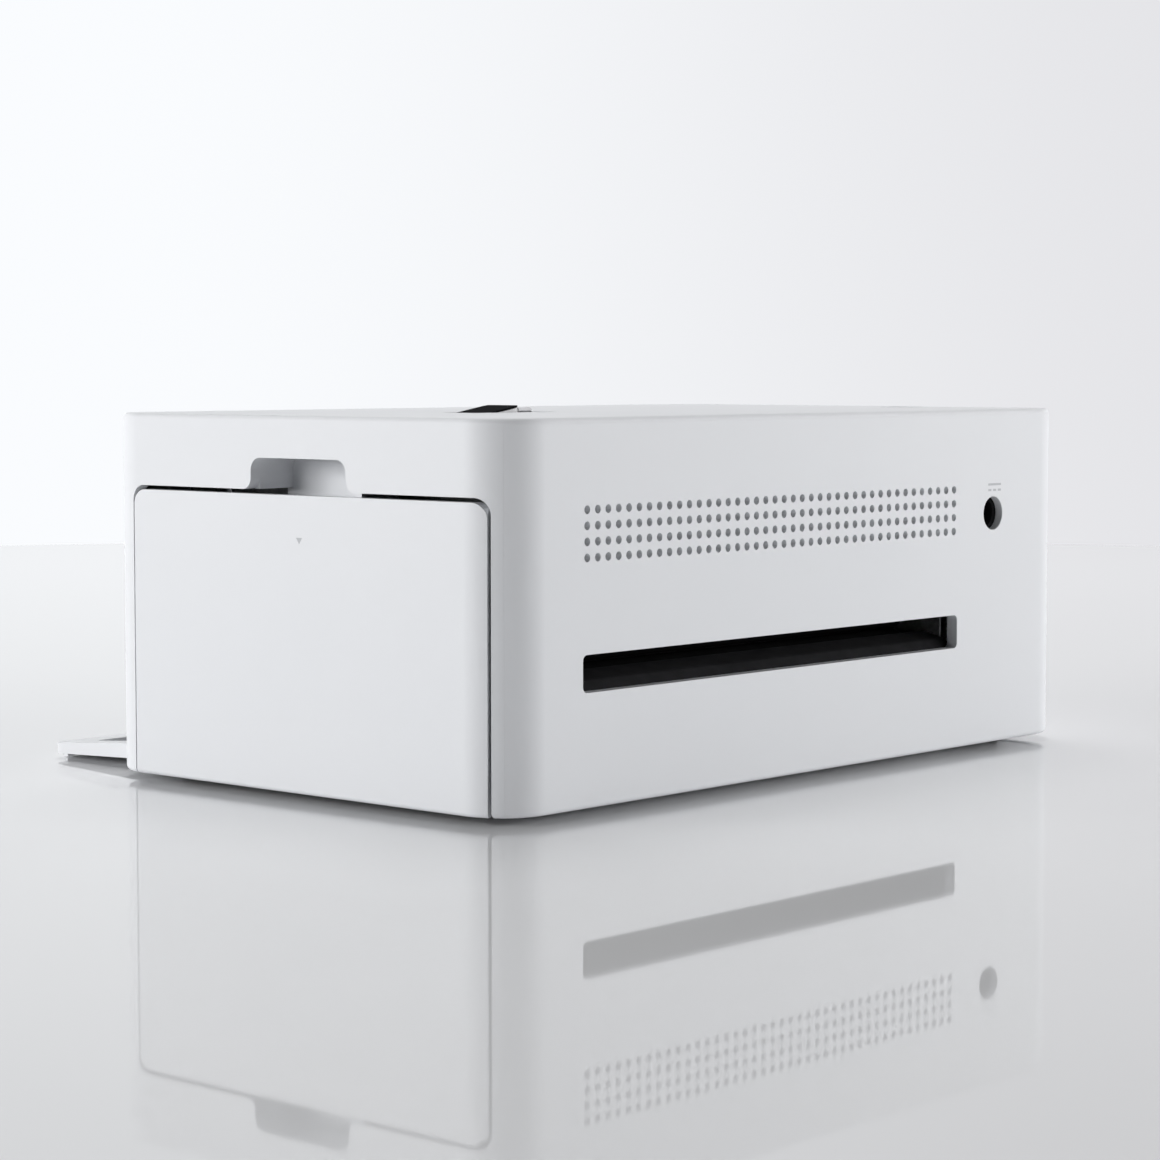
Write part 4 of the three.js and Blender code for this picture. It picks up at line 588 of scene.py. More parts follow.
# The film's colour changes in fine rings round the rolls.
filmLook = {
    "stretch": 26,
    "rings": 40,
    "dark": (0.02, 0.014, 0.05),
    "light": (0.05, 0.03, 0.10),
    "rough": (0.12, 0.24),
    "coat": 0.5,
    "bump": 0.15,
    "depth": 0.00002,
}


def filmMaterial():
    material, tree, shader = newMaterial("ribbonFilm")
    parts = placed(tree)
    joined = tree.nodes.new("ShaderNodeCombineXYZ")
    tree.links.new(mathNode(tree, "MULTIPLY", parts[0], filmLook["stretch"]), joined.inputs[0])
    turns = noiseNode(tree, joined.outputs[0], filmLook["rings"], 4.0, 0.7)
    share = ranged(tree, turns, *noise["core"], 0, 1)
    colour = mixedColour(tree, share, filmLook["dark"], filmLook["light"])
    tree.links.new(colour, shader.inputs["Base Color"])
    roughness = ranged(tree, turns, *noise["wide"], *filmLook["rough"])
    tree.links.new(roughness, shader.inputs["Roughness"])
    shader.inputs["Coat Weight"].default_value = filmLook["coat"]
    bumped(tree, shader, turns, filmLook["bump"], filmLook["depth"])
    return material


circuitBoard = boardMaterial()
ribbonFilm = filmMaterial()
print("materials made")


# The case: shell, rear panel and door are cut from one block so that their surfaces run on.

# The rear panel's seams. The last three values shift the ends of the flanges behind them by small angles.
seam = {
    "angle": math.radians(44),
    "gap": 0.01,
    "topStep": 0.03,
    "tongue": 0.25,
    "reach": math.radians(100),
    "clear": 0.003,
    "post": (0.03, 0.02),
    "side": (0.03, 0.05),
}
panelTop = case["top"] - case["edge"] - seam["topStep"]
door = {
    "front": -41.1,
    "rear": 44.91,
    "top": 52.87,
    "corner": 2.75,
    "thickness": 2.2,
    "topGap": 0.78,
    "rearGap": 0.54,
    "frontGap": 0.3,
    "hinge": (79.6, 5),
    "pin": 0.8,
    "knuckleInset": 4.2,
    "knuckleWidth": 2.6,
    "lug": (1.6, 1.3),
    "rib": (1.2, 0.5, 9),
    "pocket": (1, 7.2),
    "reliefTop": 8.1,
    "running": 0.3,
    "bore": 0.05,
}
doorInnerX = halfWidth - door["thickness"]
doorwayTop = door["top"] + door["topGap"]
postAngle = math.asin((door["rear"] + door["rearGap"] - arcY) / case["corner"])
doorEndAngle = math.asin((door["rear"] - arcY) / case["corner"])
notch = {
    "front": -10.2,
    "rear": 13.35,
    "top": 59.15,
    "floor": 50.5,
    "depth": 10,
    "radius": 2.3,
    "flare": 2,
    "wall": 1.3,
    "slit": 0.4,
}
flap = {
    "halfWidth": 73,
    "length": 30,
    "inset": 2,
    "hingeHeight": 4.2,
    "droop": math.radians(2.36),
    "plate": 1.5,
    "rim": 1.2,
    "rimWidth": 4.5,
    "tipRim": 8,
    "corner": 3,
    "cornerSteps": 10,
    "recessCorner": 1,
    "lip": 1.2,
    "taper": 0.7,
    "floorGap": 0.1,
    "stub": (1, 1.8),
    "ear": (3.2, 2.5, 8),
    "gap": 0.3,
}
flapY = -halfDepth + flap["inset"]
openingX = flap["halfWidth"] + flap["gap"]
openingTop = flap["hingeHeight"] + flap["length"] + flap["gap"]
dock = {"x": (19, 41.6), "half": 4.5, "corner": 1, "floor": 61, "pivot": (38.8, 63), "pin": 0.9, "arm": 4}
button = {
    "at": (-73, 17.5),
    "radius": 5,
    "gap": 0.3,
    "top": 66.4,
    "edge": 0.4,
    "flange": (6, 1),
    "stem": (1.6, 60.9),
}
board = {"x": (-77, -49.5), "y": (-32, 44.5), "top": 53.45, "boss": 2.2, "inset": 3.5}
boreGap = 0.25


# The room of the rear panel, between the seams at both rear corners.
def rearZone(gap):
    reach = case["corner"] + past
    startX = arcX - gap * math.sin(seam["angle"])
    startY = arcY + gap * math.cos(seam["angle"])
    endX = startX + reach * math.cos(seam["angle"])
    endY = startY + reach * math.sin(seam["angle"])
    far = halfDepth + past
    plan = [(-startX, startY), (startX, startY), (endX, endY), (endX, far), (-endX, far), (-endX, endY)]
    zone = prism(plan, case["bottom"] - past, panelTop - gap, "z")
    return carve(zone, caseBlock(case["wall"] - gap, -past, case["top"] + past))


def outlineEdges(shape, spots):
    found = []
    for edge in edgesAlong(shape, "x"):
        y, z = edge.verts[0].co.y, edge.verts[0].co.z
        if any(abs(y - spot[0]) < close["spot"] and abs(z - spot[1]) < close["spot"] for spot in spots):
            found.append(edge)
    return found


def edgesAbove(shape, level):
    return [edge for edge in edgesAlong(shape, "x") if edge.verts[0].co.z > level + 1]


# The doorway and the finger notch above it are one outline, so that the wall is cut only once.
def doorway():
    front, rear = door["front"] - door["frontGap"], door["rear"] + door["rearGap"]
    doorCorners = [(rear, doorwayTop), (front, doorwayTop)]
    notchCorners = [(notch["rear"], notch["top"]), (notch["front"], notch["top"])]
    turns = [(notch["rear"], doorwayTop), (notch["front"], doorwayTop)]
    foot = [(front, -past), (rear, -past)]
    outline = foot + [doorCorners[0], turns[0], *notchCorners, turns[1], doorCorners[1]]
    shape = prism(outline, arcX + case["wall"], halfWidth + past, "x")
    bmesh.ops.recalc_face_normals(shape, faces=shape.faces)
    rounds = ((doorCorners, door["corner"]), (notchCorners, notch["radius"]), (turns, notch["flare"]))
    for spots, radius in rounds:
        rounded(shape, outlineEdges(shape, spots), radius, facets["corner"])
    post = ringPiece((arcX, arcY), hub, case["corner"] + past, postAngle, math.pi / 2, door["reliefTop"],
                     case["top"], 4)
    return carve(shape, post)


def notchRoom():
    x = (halfWidth - notch["depth"], halfWidth + past)
    shape = block(x, (notch["front"], notch["rear"]), (notch["floor"], notch["top"]))
    return rounded(shape, edgesAbove(shape, notch["floor"]), notch["radius"], facets["corner"])


# The pocket behind the notch stays clear of the door, and a slit in its front wall shows as a dark line.
def notchPocket():
    wall = notch["wall"]
    x = (halfWidth - notch["depth"] - wall, innerX + lap)
    y = (notch["front"] - wall, notch["rear"] + wall)
    z = (notch["floor"] - wall, notch["top"] + wall)
    shape = block(x, y, z)
    rounded(shape, edgesAbove(shape, z[0]), notch["radius"] + wall, facets["corner"])
    room = block((doorInnerX - door["running"], halfWidth), (y[0] - past, y[1] + past), (-past, doorwayTop))
    front = (y[0] - past, notch["front"] + past)
    slit = block((x[0] + wall, halfWidth), front, (door["top"] - notch["slit"], doorwayTop))
    return carve(shape, room, slit)


# The flange and tongue behind one rear seam: inner and outer radius, then the angles from and to.
def cornerFlange(side):
    tucked = case["corner"] - case["wall"] - seam["gap"]
    inner = tucked - case["wall"] / 2
    outer = case["corner"] - seam["tongue"]
    edge = seam["angle"] - seam["clear"]
    if side > 0:
        low = door["reliefTop"]
        spans = [(inner, tucked, postAngle + seam["post"][0], math.pi - seam["reach"]),
                 (inner - lap, outer, postAngle + seam["post"][1], edge)]
    else:
        low = baseTop
        spans = [(inner, tucked, seam["reach"], math.pi + seam["side"][0]),
                 (inner - lap, outer, math.pi - edge, math.pi + seam["side"][1])]
    return [ringPiece((side * arcX, arcY), *span, low, ceiling + lap) for span in spans]


def bodyShell():
    inside = caseBlock(case["wall"], case["bottom"] - past, ceiling)
    shell = carve(outerBlock(), inside, rearZone(0), doorway())
    front = (-halfDepth - past, -innerY + lap)
    shell = carve(shell, block((-openingX, openingX), front, (case["bottom"] - past, openingTop)))
    additions = cornerFlange(1) + cornerFlange(-1) + [notchPocket()]
    for x in (board["x"][0] + board["inset"], board["x"][1] - board["inset"]):
        for y in (board["y"][0] + board["inset"], board["y"][1] - board["inset"]):
            additions.append(rod(board["boss"], board["top"], ceiling + lap, "z", (x, y), facets["boss"]))
    for side in (-1, 1):
        x = sorted((side * openingX, side * (openingX + flap["ear"][0])))
        y = (-innerY - case["wall"] / 2, -innerY + flap["ear"][1])
        additions.append(block(x, y, (case["bottom"] + case["edge"], flap["ear"][2])))
    shell = weld(shell, *additions)
    through = (ceiling - past, case["top"] + past)
    dockWindow = pad(dock["x"], (-dock["half"], dock["half"]), through, "z", dock["corner"])
    hole = rod(button["radius"] + button["gap"], *through, "z", button["at"], facets["hole"])
    reach = openingX + flap["stub"][1]
    pins = rod(flap["stub"][0] + boreGap, -reach, reach, "x", (flapY, flap["hingeHeight"]), facets["boss"])
    return carve(shell, dockWindow, hole, pins, notchRoom())


finish("caseShell", bodyShell(), whiteCase, "chassis", ["body_shell"], edge=0.15)
print("case shell made")

vents = {"columns": 41, "rows": 4, "pitch": 2.66, "radius": 0.725, "end": 63.05, "top": 51.28, "sides": 20}
slot = {"middle": 9.7, "width": 108.8, "z": (20.83, 27.18), "corner": 1}
jack = {"at": (-56.7, 46.35), "hole": 3.25, "sides": 72, "half": 5.8, "skin": 1.6, "gap": 0.3}


def ventCutter():
    shape = bmesh.new()
    for row in range(vents["rows"]):
        for column in range(vents["columns"]):
            x = vents["end"] - column * vents["pitch"]
            z = vents["top"] - row * vents["pitch"]
            place = Matrix.Translation((x, innerY, z)) @ Matrix.Rotation(math.pi / 2, 4, "X")
            bmesh.ops.create_cone(shape, cap_ends=True, cap_tris=False, segments=vents["sides"],
                                  radius1=vents["radius"], radius2=vents["radius"],
                                  depth=case["wall"] + past * 2, matrix=place)
    return shape


def rearPanel():
    x = (slot["middle"] - slot["width"] / 2, slot["middle"] + slot["width"] / 2)
    through = (innerY - past, halfDepth + past)
    slotHole = pad(x, through, slot["z"], "y", slot["corner"])
    jackHole = rod(jack["hole"], *through, "y", jack["at"], jack["sides"])
    seatX = (jack["at"][0] - jack["half"], jack["at"][0] + jack["half"])
    seatZ = (jack["at"][1] - jack["half"], board["top"] + jack["gap"])
    seat = block(seatX, (innerY - past, halfDepth - jack["skin"]), seatZ)
    panel = keep(outerBlock(), rearZone(seam["gap"]))
    return carve(panel, seat, slotHole, jackHole, ventCutter())


finish("rearPanel", rearPanel(), panelPlastic, "chassis", ["rear_panel"], edge=0.1)
print("rear panel made")


def knuckleSpots():
    return [door["front"] + door["knuckleInset"], arcY - door["knuckleInset"]]


def hingeRod(y, margin):
    reach = door["running"] + door["lug"][0] + margin
    side = door["pin"] + margin
    return rod(side, y - reach, y + door["knuckleWidth"] + reach, "y", door["hinge"], facets["pin"])


# The skin has the outer round of the case; two ribs and four hinge lugs stand on its inner face.
def cartridgeDoor():
    ring = carve(outerBlock(), caseBlock(door["thickness"], -past, case["top"] + past))
    face = block((arcX + case["wall"], halfWidth + past), (door["front"], door["rear"]), (0, door["top"]))
    rounded(face, edgesAbove(face, 0), door["corner"], facets["corner"])
    behind = ringPiece((arcX, arcY), hub, case["corner"] + past, doorEndAngle, math.pi, -past, case["top"])
    skin = carve(keep(ring, face), behind)
    width, rise, inset = door["rib"]
    hingeX, hingeZ = door["hinge"]
    x = (doorInnerX - rise, doorInnerX + lap)
    z = (hingeZ + inset, door["top"] - inset)
    additions = [block(x, (y, y + width), z) for y in (door["front"] + inset, door["rear"] - inset * 2)]
    hollows = []
    lugWidth, lugHalf = door["lug"]
    lugX = (hingeX - lugHalf, doorInnerX + lap)
    lugZ = (hingeZ - lugHalf, hingeZ + lugHalf)
    hollowX = (doorInnerX - past, doorInnerX + door["pocket"][0])
    hollowZ = (case["bottom"] - past, door["pocket"][1])
    for y in knuckleSpots():
        low, high = y - door["running"], y + door["knuckleWidth"] + door["running"]
        for start in (low - lugWidth, high):
            additions.append(block(lugX, (start, start + lugWidth), lugZ))
        hollows.append(block(hollowX, (low, high), hollowZ))
    pins = [hingeRod(y, door["bore"]) for y in knuckleSpots()]
    return carve(weld(skin, *additions), *hollows, *pins)


finish("cartridgeDoor", cartridgeDoor(), doorPlastic, "cartridge_door", ["cartridge_door"],
       edge=0.3, segments=3)
print("door made")


# The flap is drawn upright about its hinge, then turned down to where it rests.
def trayFlap():
    width, tip, corner, rim = (flap[key] for key in ("halfWidth", "length", "corner", "rimWidth"))
    outer = -flap["inset"]
    inner = outer + flap["plate"]
    face = inner + flap["rim"]
    profile = [(outer, outer), (face, outer), (face, tip / 3), (face - flap["taper"], tip), (outer, tip)]
    slab = prism(profile, -width, width, "x")
    bmesh.ops.recalc_face_normals(slab, faces=slab.faces)
    tipEdges = edgesAlong(slab, "y")
    upper = [edge for edge in tipEdges if min(vert.co.z for vert in edge.verts) > tip - close["spot"]]
    rounded(slab, upper, corner, flap["cornerSteps"])
    recessZ = (outer + rim, tip - flap["tipRim"])
    recess = pad((-width + rim, width - rim), (inner, face + past), recessZ, "y", flap["recessCorner"])
    drop = tip * math.sin(flap["droop"])
    depth = (flap["hingeHeight"] - drop - flap["floorGap"]) / math.cos(flap["droop"]) + outer
    lip = block((-width + corner, width - corner), (outer - depth, outer + lap), (tip - flap["lip"], tip))
    radius, reach = flap["stub"]
    stubs = []
    for side in (-1, 1):
        ends = sorted((side * (width - lap), side * (width + reach)))
        stubs.append(rod(radius, *ends, "x", (0, 0), facets["pin"]))
    return weld(carve(slab, recess), lip, *stubs)


flapLift = Matrix.Translation((0, flapY, flap["hingeHeight"]))
flapTurn = flapLift @ Matrix.Rotation(math.pi / 2 + flap["droop"], 4, "X")
finish("trayFlap", trayFlap(), whiteCase, "tray_flap", ["tray_flap"], edge=0.25, segments=3,
       turn=flapTurn)
print("tray flap made")


# The phone connector: a tipping silver arm, its thin black cover and the plug.

wedge = {
    "tail": 40.4,
    "tailDrop": 2.5,
    "thin": 38.2,
    "thinDrop": 0.1,
    "crest": (29.85, 29),
    "nose": 28.2,
    "noseRadius": 3,
    "rise": 1.25,
    "under": 62.2,
    "cover": 0.35,
    "gap": 0.05,
}
plug = {"tip": 24.5, "half": 2.6, "thick": 1.2, "rise": 0.25, "radius": (0.55, 0.25), "steps": (6, 4)}
armY = (-dock["arm"], dock["arm"])


# The upper side of the arm from its tail to its nose, the given drop below the cover's top.
def armProfile(drop):
    top = case["top"] - drop
    return [
        (wedge["tail"], top - wedge["tailDrop"]),
        ((wedge["tail"] + wedge["thin"]) / 2, top - wedge["tailDrop"] / 3),
        (wedge["thin"], top - wedge["thinDrop"]),
        (wedge["crest"][0], top + wedge["rise"]),
        (wedge["crest"][1], top + wedge["rise"]),
        (wedge["nose"], top + wedge["rise"] / 2),
    ]


def armOutline():
    x = (wedge["nose"], wedge["tail"] + wedge["noseRadius"] + past)
    return pad(x, armY, (dock["floor"], case["top"] + past), "z", wedge["noseRadius"], facets["corner"])


def dockArm():
    nose, tail, under = wedge["nose"], wedge["tail"], wedge["under"]
    lift = wedge["cover"] + wedge["gap"]
    points = [(nose, under), (tail, under), *armProfile(lift), (nose, case["top"] - lift)]
    shape = keep(prism(points, *armY, "y"), armOutline())
    bore = rod(dock["pin"] + boreGap, armY[0] - past, armY[1] + past, "y", dock["pivot"], facets["pin"])
    return carve(shape, bore)


def dockCover():
    points = armProfile(0) + armProfile(wedge["cover"])[::-1]
    return keep(prism(points, *armY, "y"), armOutline())


def dockPlug():
    middle = case["top"] + plug["rise"]
    x = (plug["tip"], wedge["nose"] - wedge["gap"])
    z = (middle - plug["thick"] / 2, middle + plug["thick"] / 2)
    shape = pad(x, (-plug["half"], plug["half"]), z, "x", plug["radius"][0], plug["steps"][0])
    return rounded(shape, edgesAt(shape, "x", plug["tip"]), plug["radius"][1], plug["steps"][1])


finish("dockArm", dockArm(), silverPaint, "dock_connector", ["dock_arm"], edge=0.2,
       segments=3)
finish("dockCover", dockCover(), blackSatin, "dock_connector", ["dock_cover"], edge=0.22,
       segments=3, angle=12)
finish("dockPlug", dockPlug(), connectorMetal, "dock_connector", ["dock_plug"], edge=0)


def powerButton():
    radius, top, edge = button["radius"], button["top"], button["edge"]
    stem, end = button["stem"]
    reach, thick = button["flange"]
    flangeTop = ceiling - button["gap"]
    flangeLow = flangeTop - thick
    shaft = [(0, end), (stem, end), (stem, flangeLow)]
    flange = [(reach, flangeLow), (reach, flangeTop), (radius, flangeTop)]
    inner, low = radius - edge, top - edge
    arc = [(inner + edge * math.cos(angle), low + edge * math.sin(angle)) for angle in arcSteps]
    return turned([*shaft, *flange, *arc, (0, top)], button["at"], facets["hole"])


finish("powerButton", powerButton(), whiteCase, "power_button", ["power_button"], edge=0)

feet = {"radius": 5, "edge": 0.4, "top": 1.7, "x": 68, "y": 38, "sides": 72}


def rubberFoot(sideX, sideY):
    radius, edge, top = feet["radius"], feet["edge"], feet["top"]
    arc = [(radius - edge + edge * math.sin(angle), edge - edge * math.cos(angle)) for angle in arcSteps]
    at = (sideX * feet["x"], sideY * feet["y"])
    return turned([(0, 0), *arc, (radius, top), (0, top)], at, feet["sides"])


for column, sideX in (("left", -1), ("right", 1)):
    for row, sideY in (("front", -1), ("rear", 1)):
        name = row + "_" + column
        foot = rubberFoot(sideX, sideY)
        finish("rubberFoot_" + name, foot, rubber, "chassis", ["foot_" + name], edge=0)
print("connector, button and feet made")


# Inner pieces keep the CAD solids' places; their edges are broken and their rounds shaded smooth.

innerLooks = {
    "shell_plastic": whiteCase,
    "dark_plastic": darkPlastic,
    "black_gloss": blackMatte,
    "rubber": rubber,
    "sheet_steel": sheetSteel,
    "ground_steel": groundSteel,
    "aluminium": aluminium,
    "motor_can": canSteel,
    "acetal": acetal,
    "circuit_board": circuitBoard,
    "ribbon_film": ribbonFilm,
    "cartridge_plastic": cartridgePlastic,
}
innerEdges = {"left_side_plate": 0.15, "right_side_plate": 0.15, "cartridge_frame": 0.2, "tray_bay": 0.2}
slotOf = {part["node"]: part["material_slot"] for part in frame["record"]["subparts"]}
bodyOf = {node: body for body, members in frame["record"]["behaviour"]["bodies"].items() for node in members}

# Rollers, spools and film rolls turn about X. A profile goes from end to end as pairs of X and radius.
rollers = {
    "left": -42.7,
    "right": 62.1,
    "end": 68.5,
    "gearLeft": -55,
    "bushLeft": -49.5,
    "shaft": 2,
    "capstan": 4.5,
    "pinch": 3,
    "pinchShaft": 1.5,
    "platen": 5.5,
    "platenBore": 2.05,
}
pickup = {"left": -5.3, "right": 24.7, "width": 10, "sleeve": 5, "bore": 5.05, "tyre": 7}
headShaft = {"left": -48.5, "right": 67.7}
spool = {
    "left": -45.1,
    "right": 76.8,
    "tip": 78.4,
    "core": 4.2,
    "journal": 2.2,
    "bore": 2.6,
    "boreEnd": -39.1,
}
film = {"left": -42.3, "right": 61.7, "bore": 4.25, "supply": 9, "takeUp": 6.5}
capstanPlace, pinchPlace, platenPlace, pickupPlace = (36, 19.5), (36, 27.3), (4, 18.5), (-35.98, 29.59)
headPlace, supplyPlace, takeUpPlace = (-34, 52), (23, 36.5), (-17, 36.5)


def rollerProfile(left, shaft, radius, start=rollers["left"], stop=rollers["right"]):
    end = rollers["end"]
    return [(left, 0), (left, shaft), (start, shaft), (start, radius), (stop, radius), (stop, shaft),
            (end, shaft), (end, 0)]


def shaftProfile(left, right):
    radius = rollers["shaft"]
    return [(left, 0), (left, radius), (right, radius), (right, 0)]


def ringProfile(start, stop, inner, outer):
    return [(start, inner), (start, outer), (stop, outer), (stop, inner), (start, inner)]


def tyreProfile(start):
    return ringProfile(start, start + pickup["width"], pickup["bore"], pickup["tyre"])


def filmProfile(radius):
    return ringProfile(film["left"], film["right"], film["bore"], radius)


spoolProfile = [
    (spool["boreEnd"], 0),
    (spool["boreEnd"], spool["bore"]),
    (spool["left"], spool["bore"]),
    (spool["left"], spool["core"]),
    (spool["right"], spool["core"]),
    (spool["right"], spool["journal"]),
    (spool["tip"], spool["journal"]),
    (spool["tip"], 0),
]
capstanProfile = rollerProfile(rollers["gearLeft"], rollers["shaft"], rollers["capstan"])
pinchProfile = rollerProfile(rollers["bushLeft"], rollers["pinchShaft"], rollers["pinch"])
platenProfile = ringProfile(rollers["left"], rollers["right"], rollers["platenBore"], rollers["platen"])
pickupProfile = rollerProfile(rollers["gearLeft"], rollers["shaft"], pickup["sleeve"], pickup["left"],
                              pickup["right"])
roundPieces = {
    "capstan_roller": (capstanPlace, capstanProfile),
    "pinch_roller": (pinchPlace, pinchProfile),
    "platen_roller": (platenPlace, platenProfile),
    "platen_shaft": (platenPlace, shaftProfile(rollers["bushLeft"], rollers["end"])),
    "pickup_shaft": (pickupPlace, pickupProfile),
    "pickup_tyre_1": (pickupPlace, tyreProfile(pickup["left"])),
    "pickup_tyre_2": (pickupPlace, tyreProfile(pickup["right"] - pickup["width"])),
    "head_pivot_shaft": (headPlace, shaftProfile(headShaft["left"], headShaft["right"])),
    "supply_spool": (supplyPlace, spoolProfile),
    "take_up_spool": (takeUpPlace, spoolProfile),
    "supply_film_roll": (supplyPlace, filmProfile(film["supply"])),
    "take_up_film_roll": (takeUpPlace, filmProfile(film["takeUp"])),
}


def pieceName(node):
    words = node.split("_")
    return words[0] + "".join(word.capitalize() for word in words[1:])


def turnedAlongX(profile, at, segments=72):
    shape = turned([(radius, along) for along, radius in profile], (0, 0), segments)
    bmesh.ops.rotate(shape, matrix=Matrix.Rotation(math.pi / 2, 3, "Y"), verts=shape.verts)
    bmesh.ops.translate(shape, vec=(0, *at), verts=shape.verts)
    return shape


for node, (at, profile) in roundPieces.items():
    look = blackRoller if node in ("capstan_roller", "pinch_roller") else innerLooks[slotOf[node]]
    finish(pieceName(node), turnedAlongX(profile, at), look, bodyOf[node], [node])
print("rollers and spools made")

# Every other solid keeps its CAD mesh. Near points are joined and flat faces merged first.
dressed = {name for piece in bpy.data.objects for name in piece.get("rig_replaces", [])}
dressing = {"join": 0.001, "flat": math.radians(0.5), "edge": 0.12, "angle": 32}


def dressInner(node):
    shape = bmesh.new()
    shape.from_mesh(frame["nodes"][node].data)
    bmesh.ops.translate(shape, vec=-caseMiddle, verts=shape.verts)
    bmesh.ops.scale(shape, vec=Vector((1, 1, 1)) / frameScale, verts=shape.verts)
    bmesh.ops.remove_doubles(shape, verts=shape.verts, dist=dressing["join"])
    bmesh.ops.dissolve_limit(shape, angle_limit=dressing["flat"], verts=shape.verts, edges=shape.edges)
    edge = innerEdges.get(node, dressing["edge"])
    finish(pieceName(node) + "Dressed", shape, innerLooks[slotOf[node]], bodyOf[node], [node],
           edge=edge, angle=dressing["angle"])


for node in sorted(set(frame["nodes"]) - dressed):
    dressInner(node)
print("inner pieces dressed")


# Studio: floor, background, lamps and camera.

studio = {
    "floorRadius": 0.712,
    "floorSides": 256,
    "floorColour": (0.9, 0.906, 0.92),
    "floorShade": 0.985,
    "floorRough": 0.03,
    "floorIndex": 1.55,
    "wide": 0.8,
    "aimHeight": 0.033,
}
backdrop = {
    "air": (0.97, 0.985, 1, 1),
    "fill": 0.02,
    "way": (0.66, -0.748, 0),
    "from": -0.24,
    "to": 0.16,
    "grey": (0.775, 0.775, 0.80),
    "white": (0.955, 0.972, 0.995),
}
lowLamp = {"height": 0.26, "distance": 1.2, "tall": 0.4}
studioLamps = [
    {"name": "doorSideLamp", "azimuth": -50, "power": 4.7, **lowLamp},
    {"name": "doorLamp", "azimuth": -25, "power": 8.3, **lowLamp},
    {"name": "rearLamp", "azimuth": 109, "power": 3.7, **lowLamp},
    {"name": "rearSideLamp", "azimuth": 134, "power": 5.2, **lowLamp},
    {"name": "rimLamp", "azimuth": 159, "power": 4, **lowLamp},
    {"name": "backLamp", "azimuth": 222, "height": 1.3, "distance": 0.5, "tall": 0.8, "power": 7},
    {"name": "farLamp", "azimuth": 226, "height": 0.5, "distance": 0.75, "tall": 0.5, "aim": 0.65,
     "power": 1},
]


def floorMaterial():
    material, tree, shader = newMaterial("studioFloor")
    surface = useGroup(tree, "moulded", Grain=900.0, Cloud=3.0)
    tone = ranged(tree, surface.outputs["Tone"], *noise["wide"], 0, 1)
    shade = tuple(value * studio["floorShade"] for value in studio["floorColour"])
    tree.links.new(mixedColour(tree, tone, studio["floorColour"], shade), shader.inputs["Base Color"])
    shader.inputs["Roughness"].default_value = studio["floorRough"]
    shader.inputs["IOR"].default_value = studio["floorIndex"]
    return material


def studioFloor():
    shape = bmesh.new()
    bmesh.ops.create_circle(shape, cap_ends=True, segments=studio["floorSides"], radius=studio["floorRadius"])
    floor = meshObject("studioFloor", shape)
    floor.data.materials.append(floorMaterial())


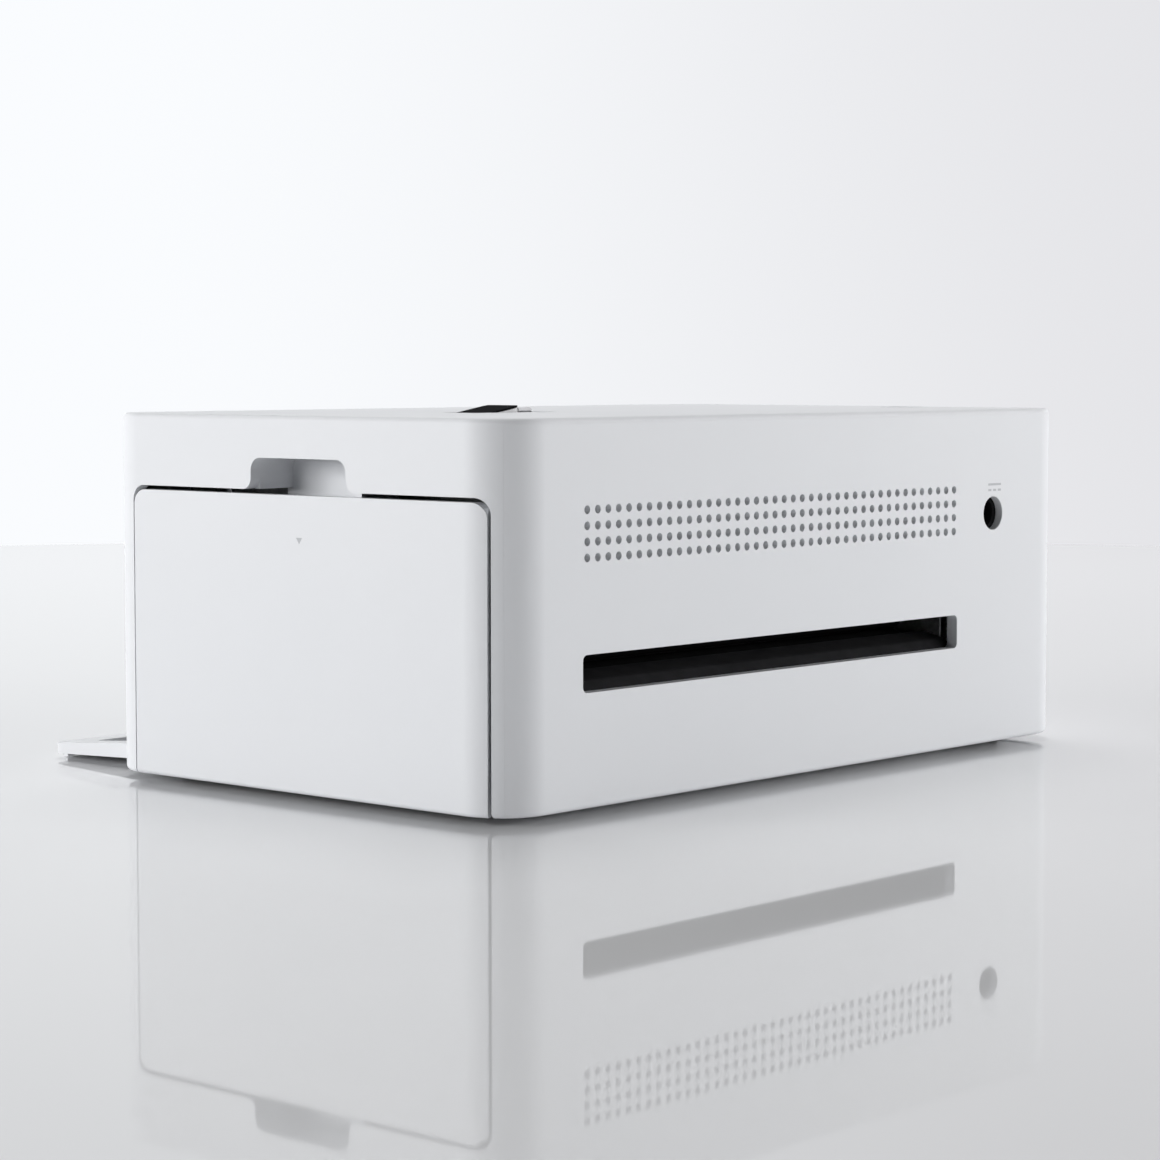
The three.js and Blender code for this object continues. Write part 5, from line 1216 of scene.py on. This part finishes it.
# Only what the camera or a mirror sees of the world has the backdrop's two tones; its light is a weak fill.
def studioWorld():
    world = bpy.data.worlds.new("studioWorld")
    bpy.context.scene.world = world
    world.use_nodes = True
    tree = world.node_tree
    back = tree.nodes["Background"]
    back.inputs["Color"].default_value = backdrop["air"]
    back.inputs["Strength"].default_value = backdrop["fill"]
    shown = tree.nodes.new("ShaderNodeBackground")
    place = tree.nodes.new("ShaderNodeTexCoord").outputs["Generated"]
    turn = tree.nodes.new("ShaderNodeVectorMath")
    turn.operation = "DOT_PRODUCT"
    tree.links.new(place, turn.inputs[0])
    turn.inputs[1].default_value = backdrop["way"]
    share = tree.nodes.new("ShaderNodeMapRange")
    share.interpolation_type = "SMOOTHSTEP"
    tree.links.new(turn.outputs["Value"], share.inputs["Value"])
    share.inputs["From Min"].default_value = backdrop["from"]
    share.inputs["From Max"].default_value = backdrop["to"]
    colour = mixedColour(tree, share.outputs["Result"], backdrop["grey"], backdrop["white"])
    tree.links.new(colour, shown.inputs["Color"])
    rays = tree.nodes.new("ShaderNodeLightPath")
    seen = mathNode(tree, "MAXIMUM", rays.outputs["Is Camera Ray"], rays.outputs["Is Glossy Ray"])
    seen = mathNode(tree, "MAXIMUM", seen, rays.outputs["Is Transmission Ray"])
    mix = tree.nodes.new("ShaderNodeMixShader")
    tree.links.new(seen, mix.inputs[0])
    tree.links.new(back.outputs[0], mix.inputs[1])
    tree.links.new(shown.outputs[0], mix.inputs[2])
    tree.links.new(mix.outputs[0], tree.nodes["World Output"].inputs["Surface"])


# A lamp stands on a circle round the printer. Surfaces that mirror don't show it.
def addLamp(spec):
    lamp = bpy.data.lights.new(spec["name"], "AREA")
    lamp.shape = "RECTANGLE"
    lamp.size = studio["wide"]
    lamp.size_y = spec["tall"]
    lamp.energy = spec["power"]
    holder = newObject(spec["name"], lamp)
    angle = math.radians(spec["azimuth"])
    outward = Vector((math.cos(angle), math.sin(angle), 0))
    place = outward * spec["distance"] + axes["z"] * spec["height"]
    target = outward * spec.get("aim", 0) + axes["z"] * studio["aimHeight"]
    holder.location = place
    holder.rotation_euler = (target - place).to_track_quat("-Z", "Y").to_euler()
    holder.visible_glossy = False


camera = {
    "place": (0.43819, 0.39336, 0.07506),
    "yaw": 48.579,
    "pitch": 4.058,
    "lens": 93.93,
    "sensor": 36,
    "near": 0.01,
    "far": 20,
}


def addCamera():
    data = bpy.data.cameras.new("photoCamera")
    data.lens = camera["lens"]
    data.sensor_width = camera["sensor"]
    data.sensor_fit = "HORIZONTAL"
    data.clip_start = camera["near"]
    data.clip_end = camera["far"]
    holder = newObject("photoCamera", data)
    yaw, pitch = math.radians(camera["yaw"]), math.radians(camera["pitch"])
    ahead = Vector((-math.sin(yaw) * math.cos(pitch), -math.cos(yaw) * math.cos(pitch), -math.sin(pitch)))
    holder.location = camera["place"]
    holder.rotation_euler = ahead.to_track_quat("-Z", "Y").to_euler()
    bpy.context.scene.camera = holder


studioFloor()
studioWorld()
for spec in studioLamps:
    addLamp(spec)
addCamera()
bpy.context.scene.view_settings.view_transform = "Standard"
print("studio made")
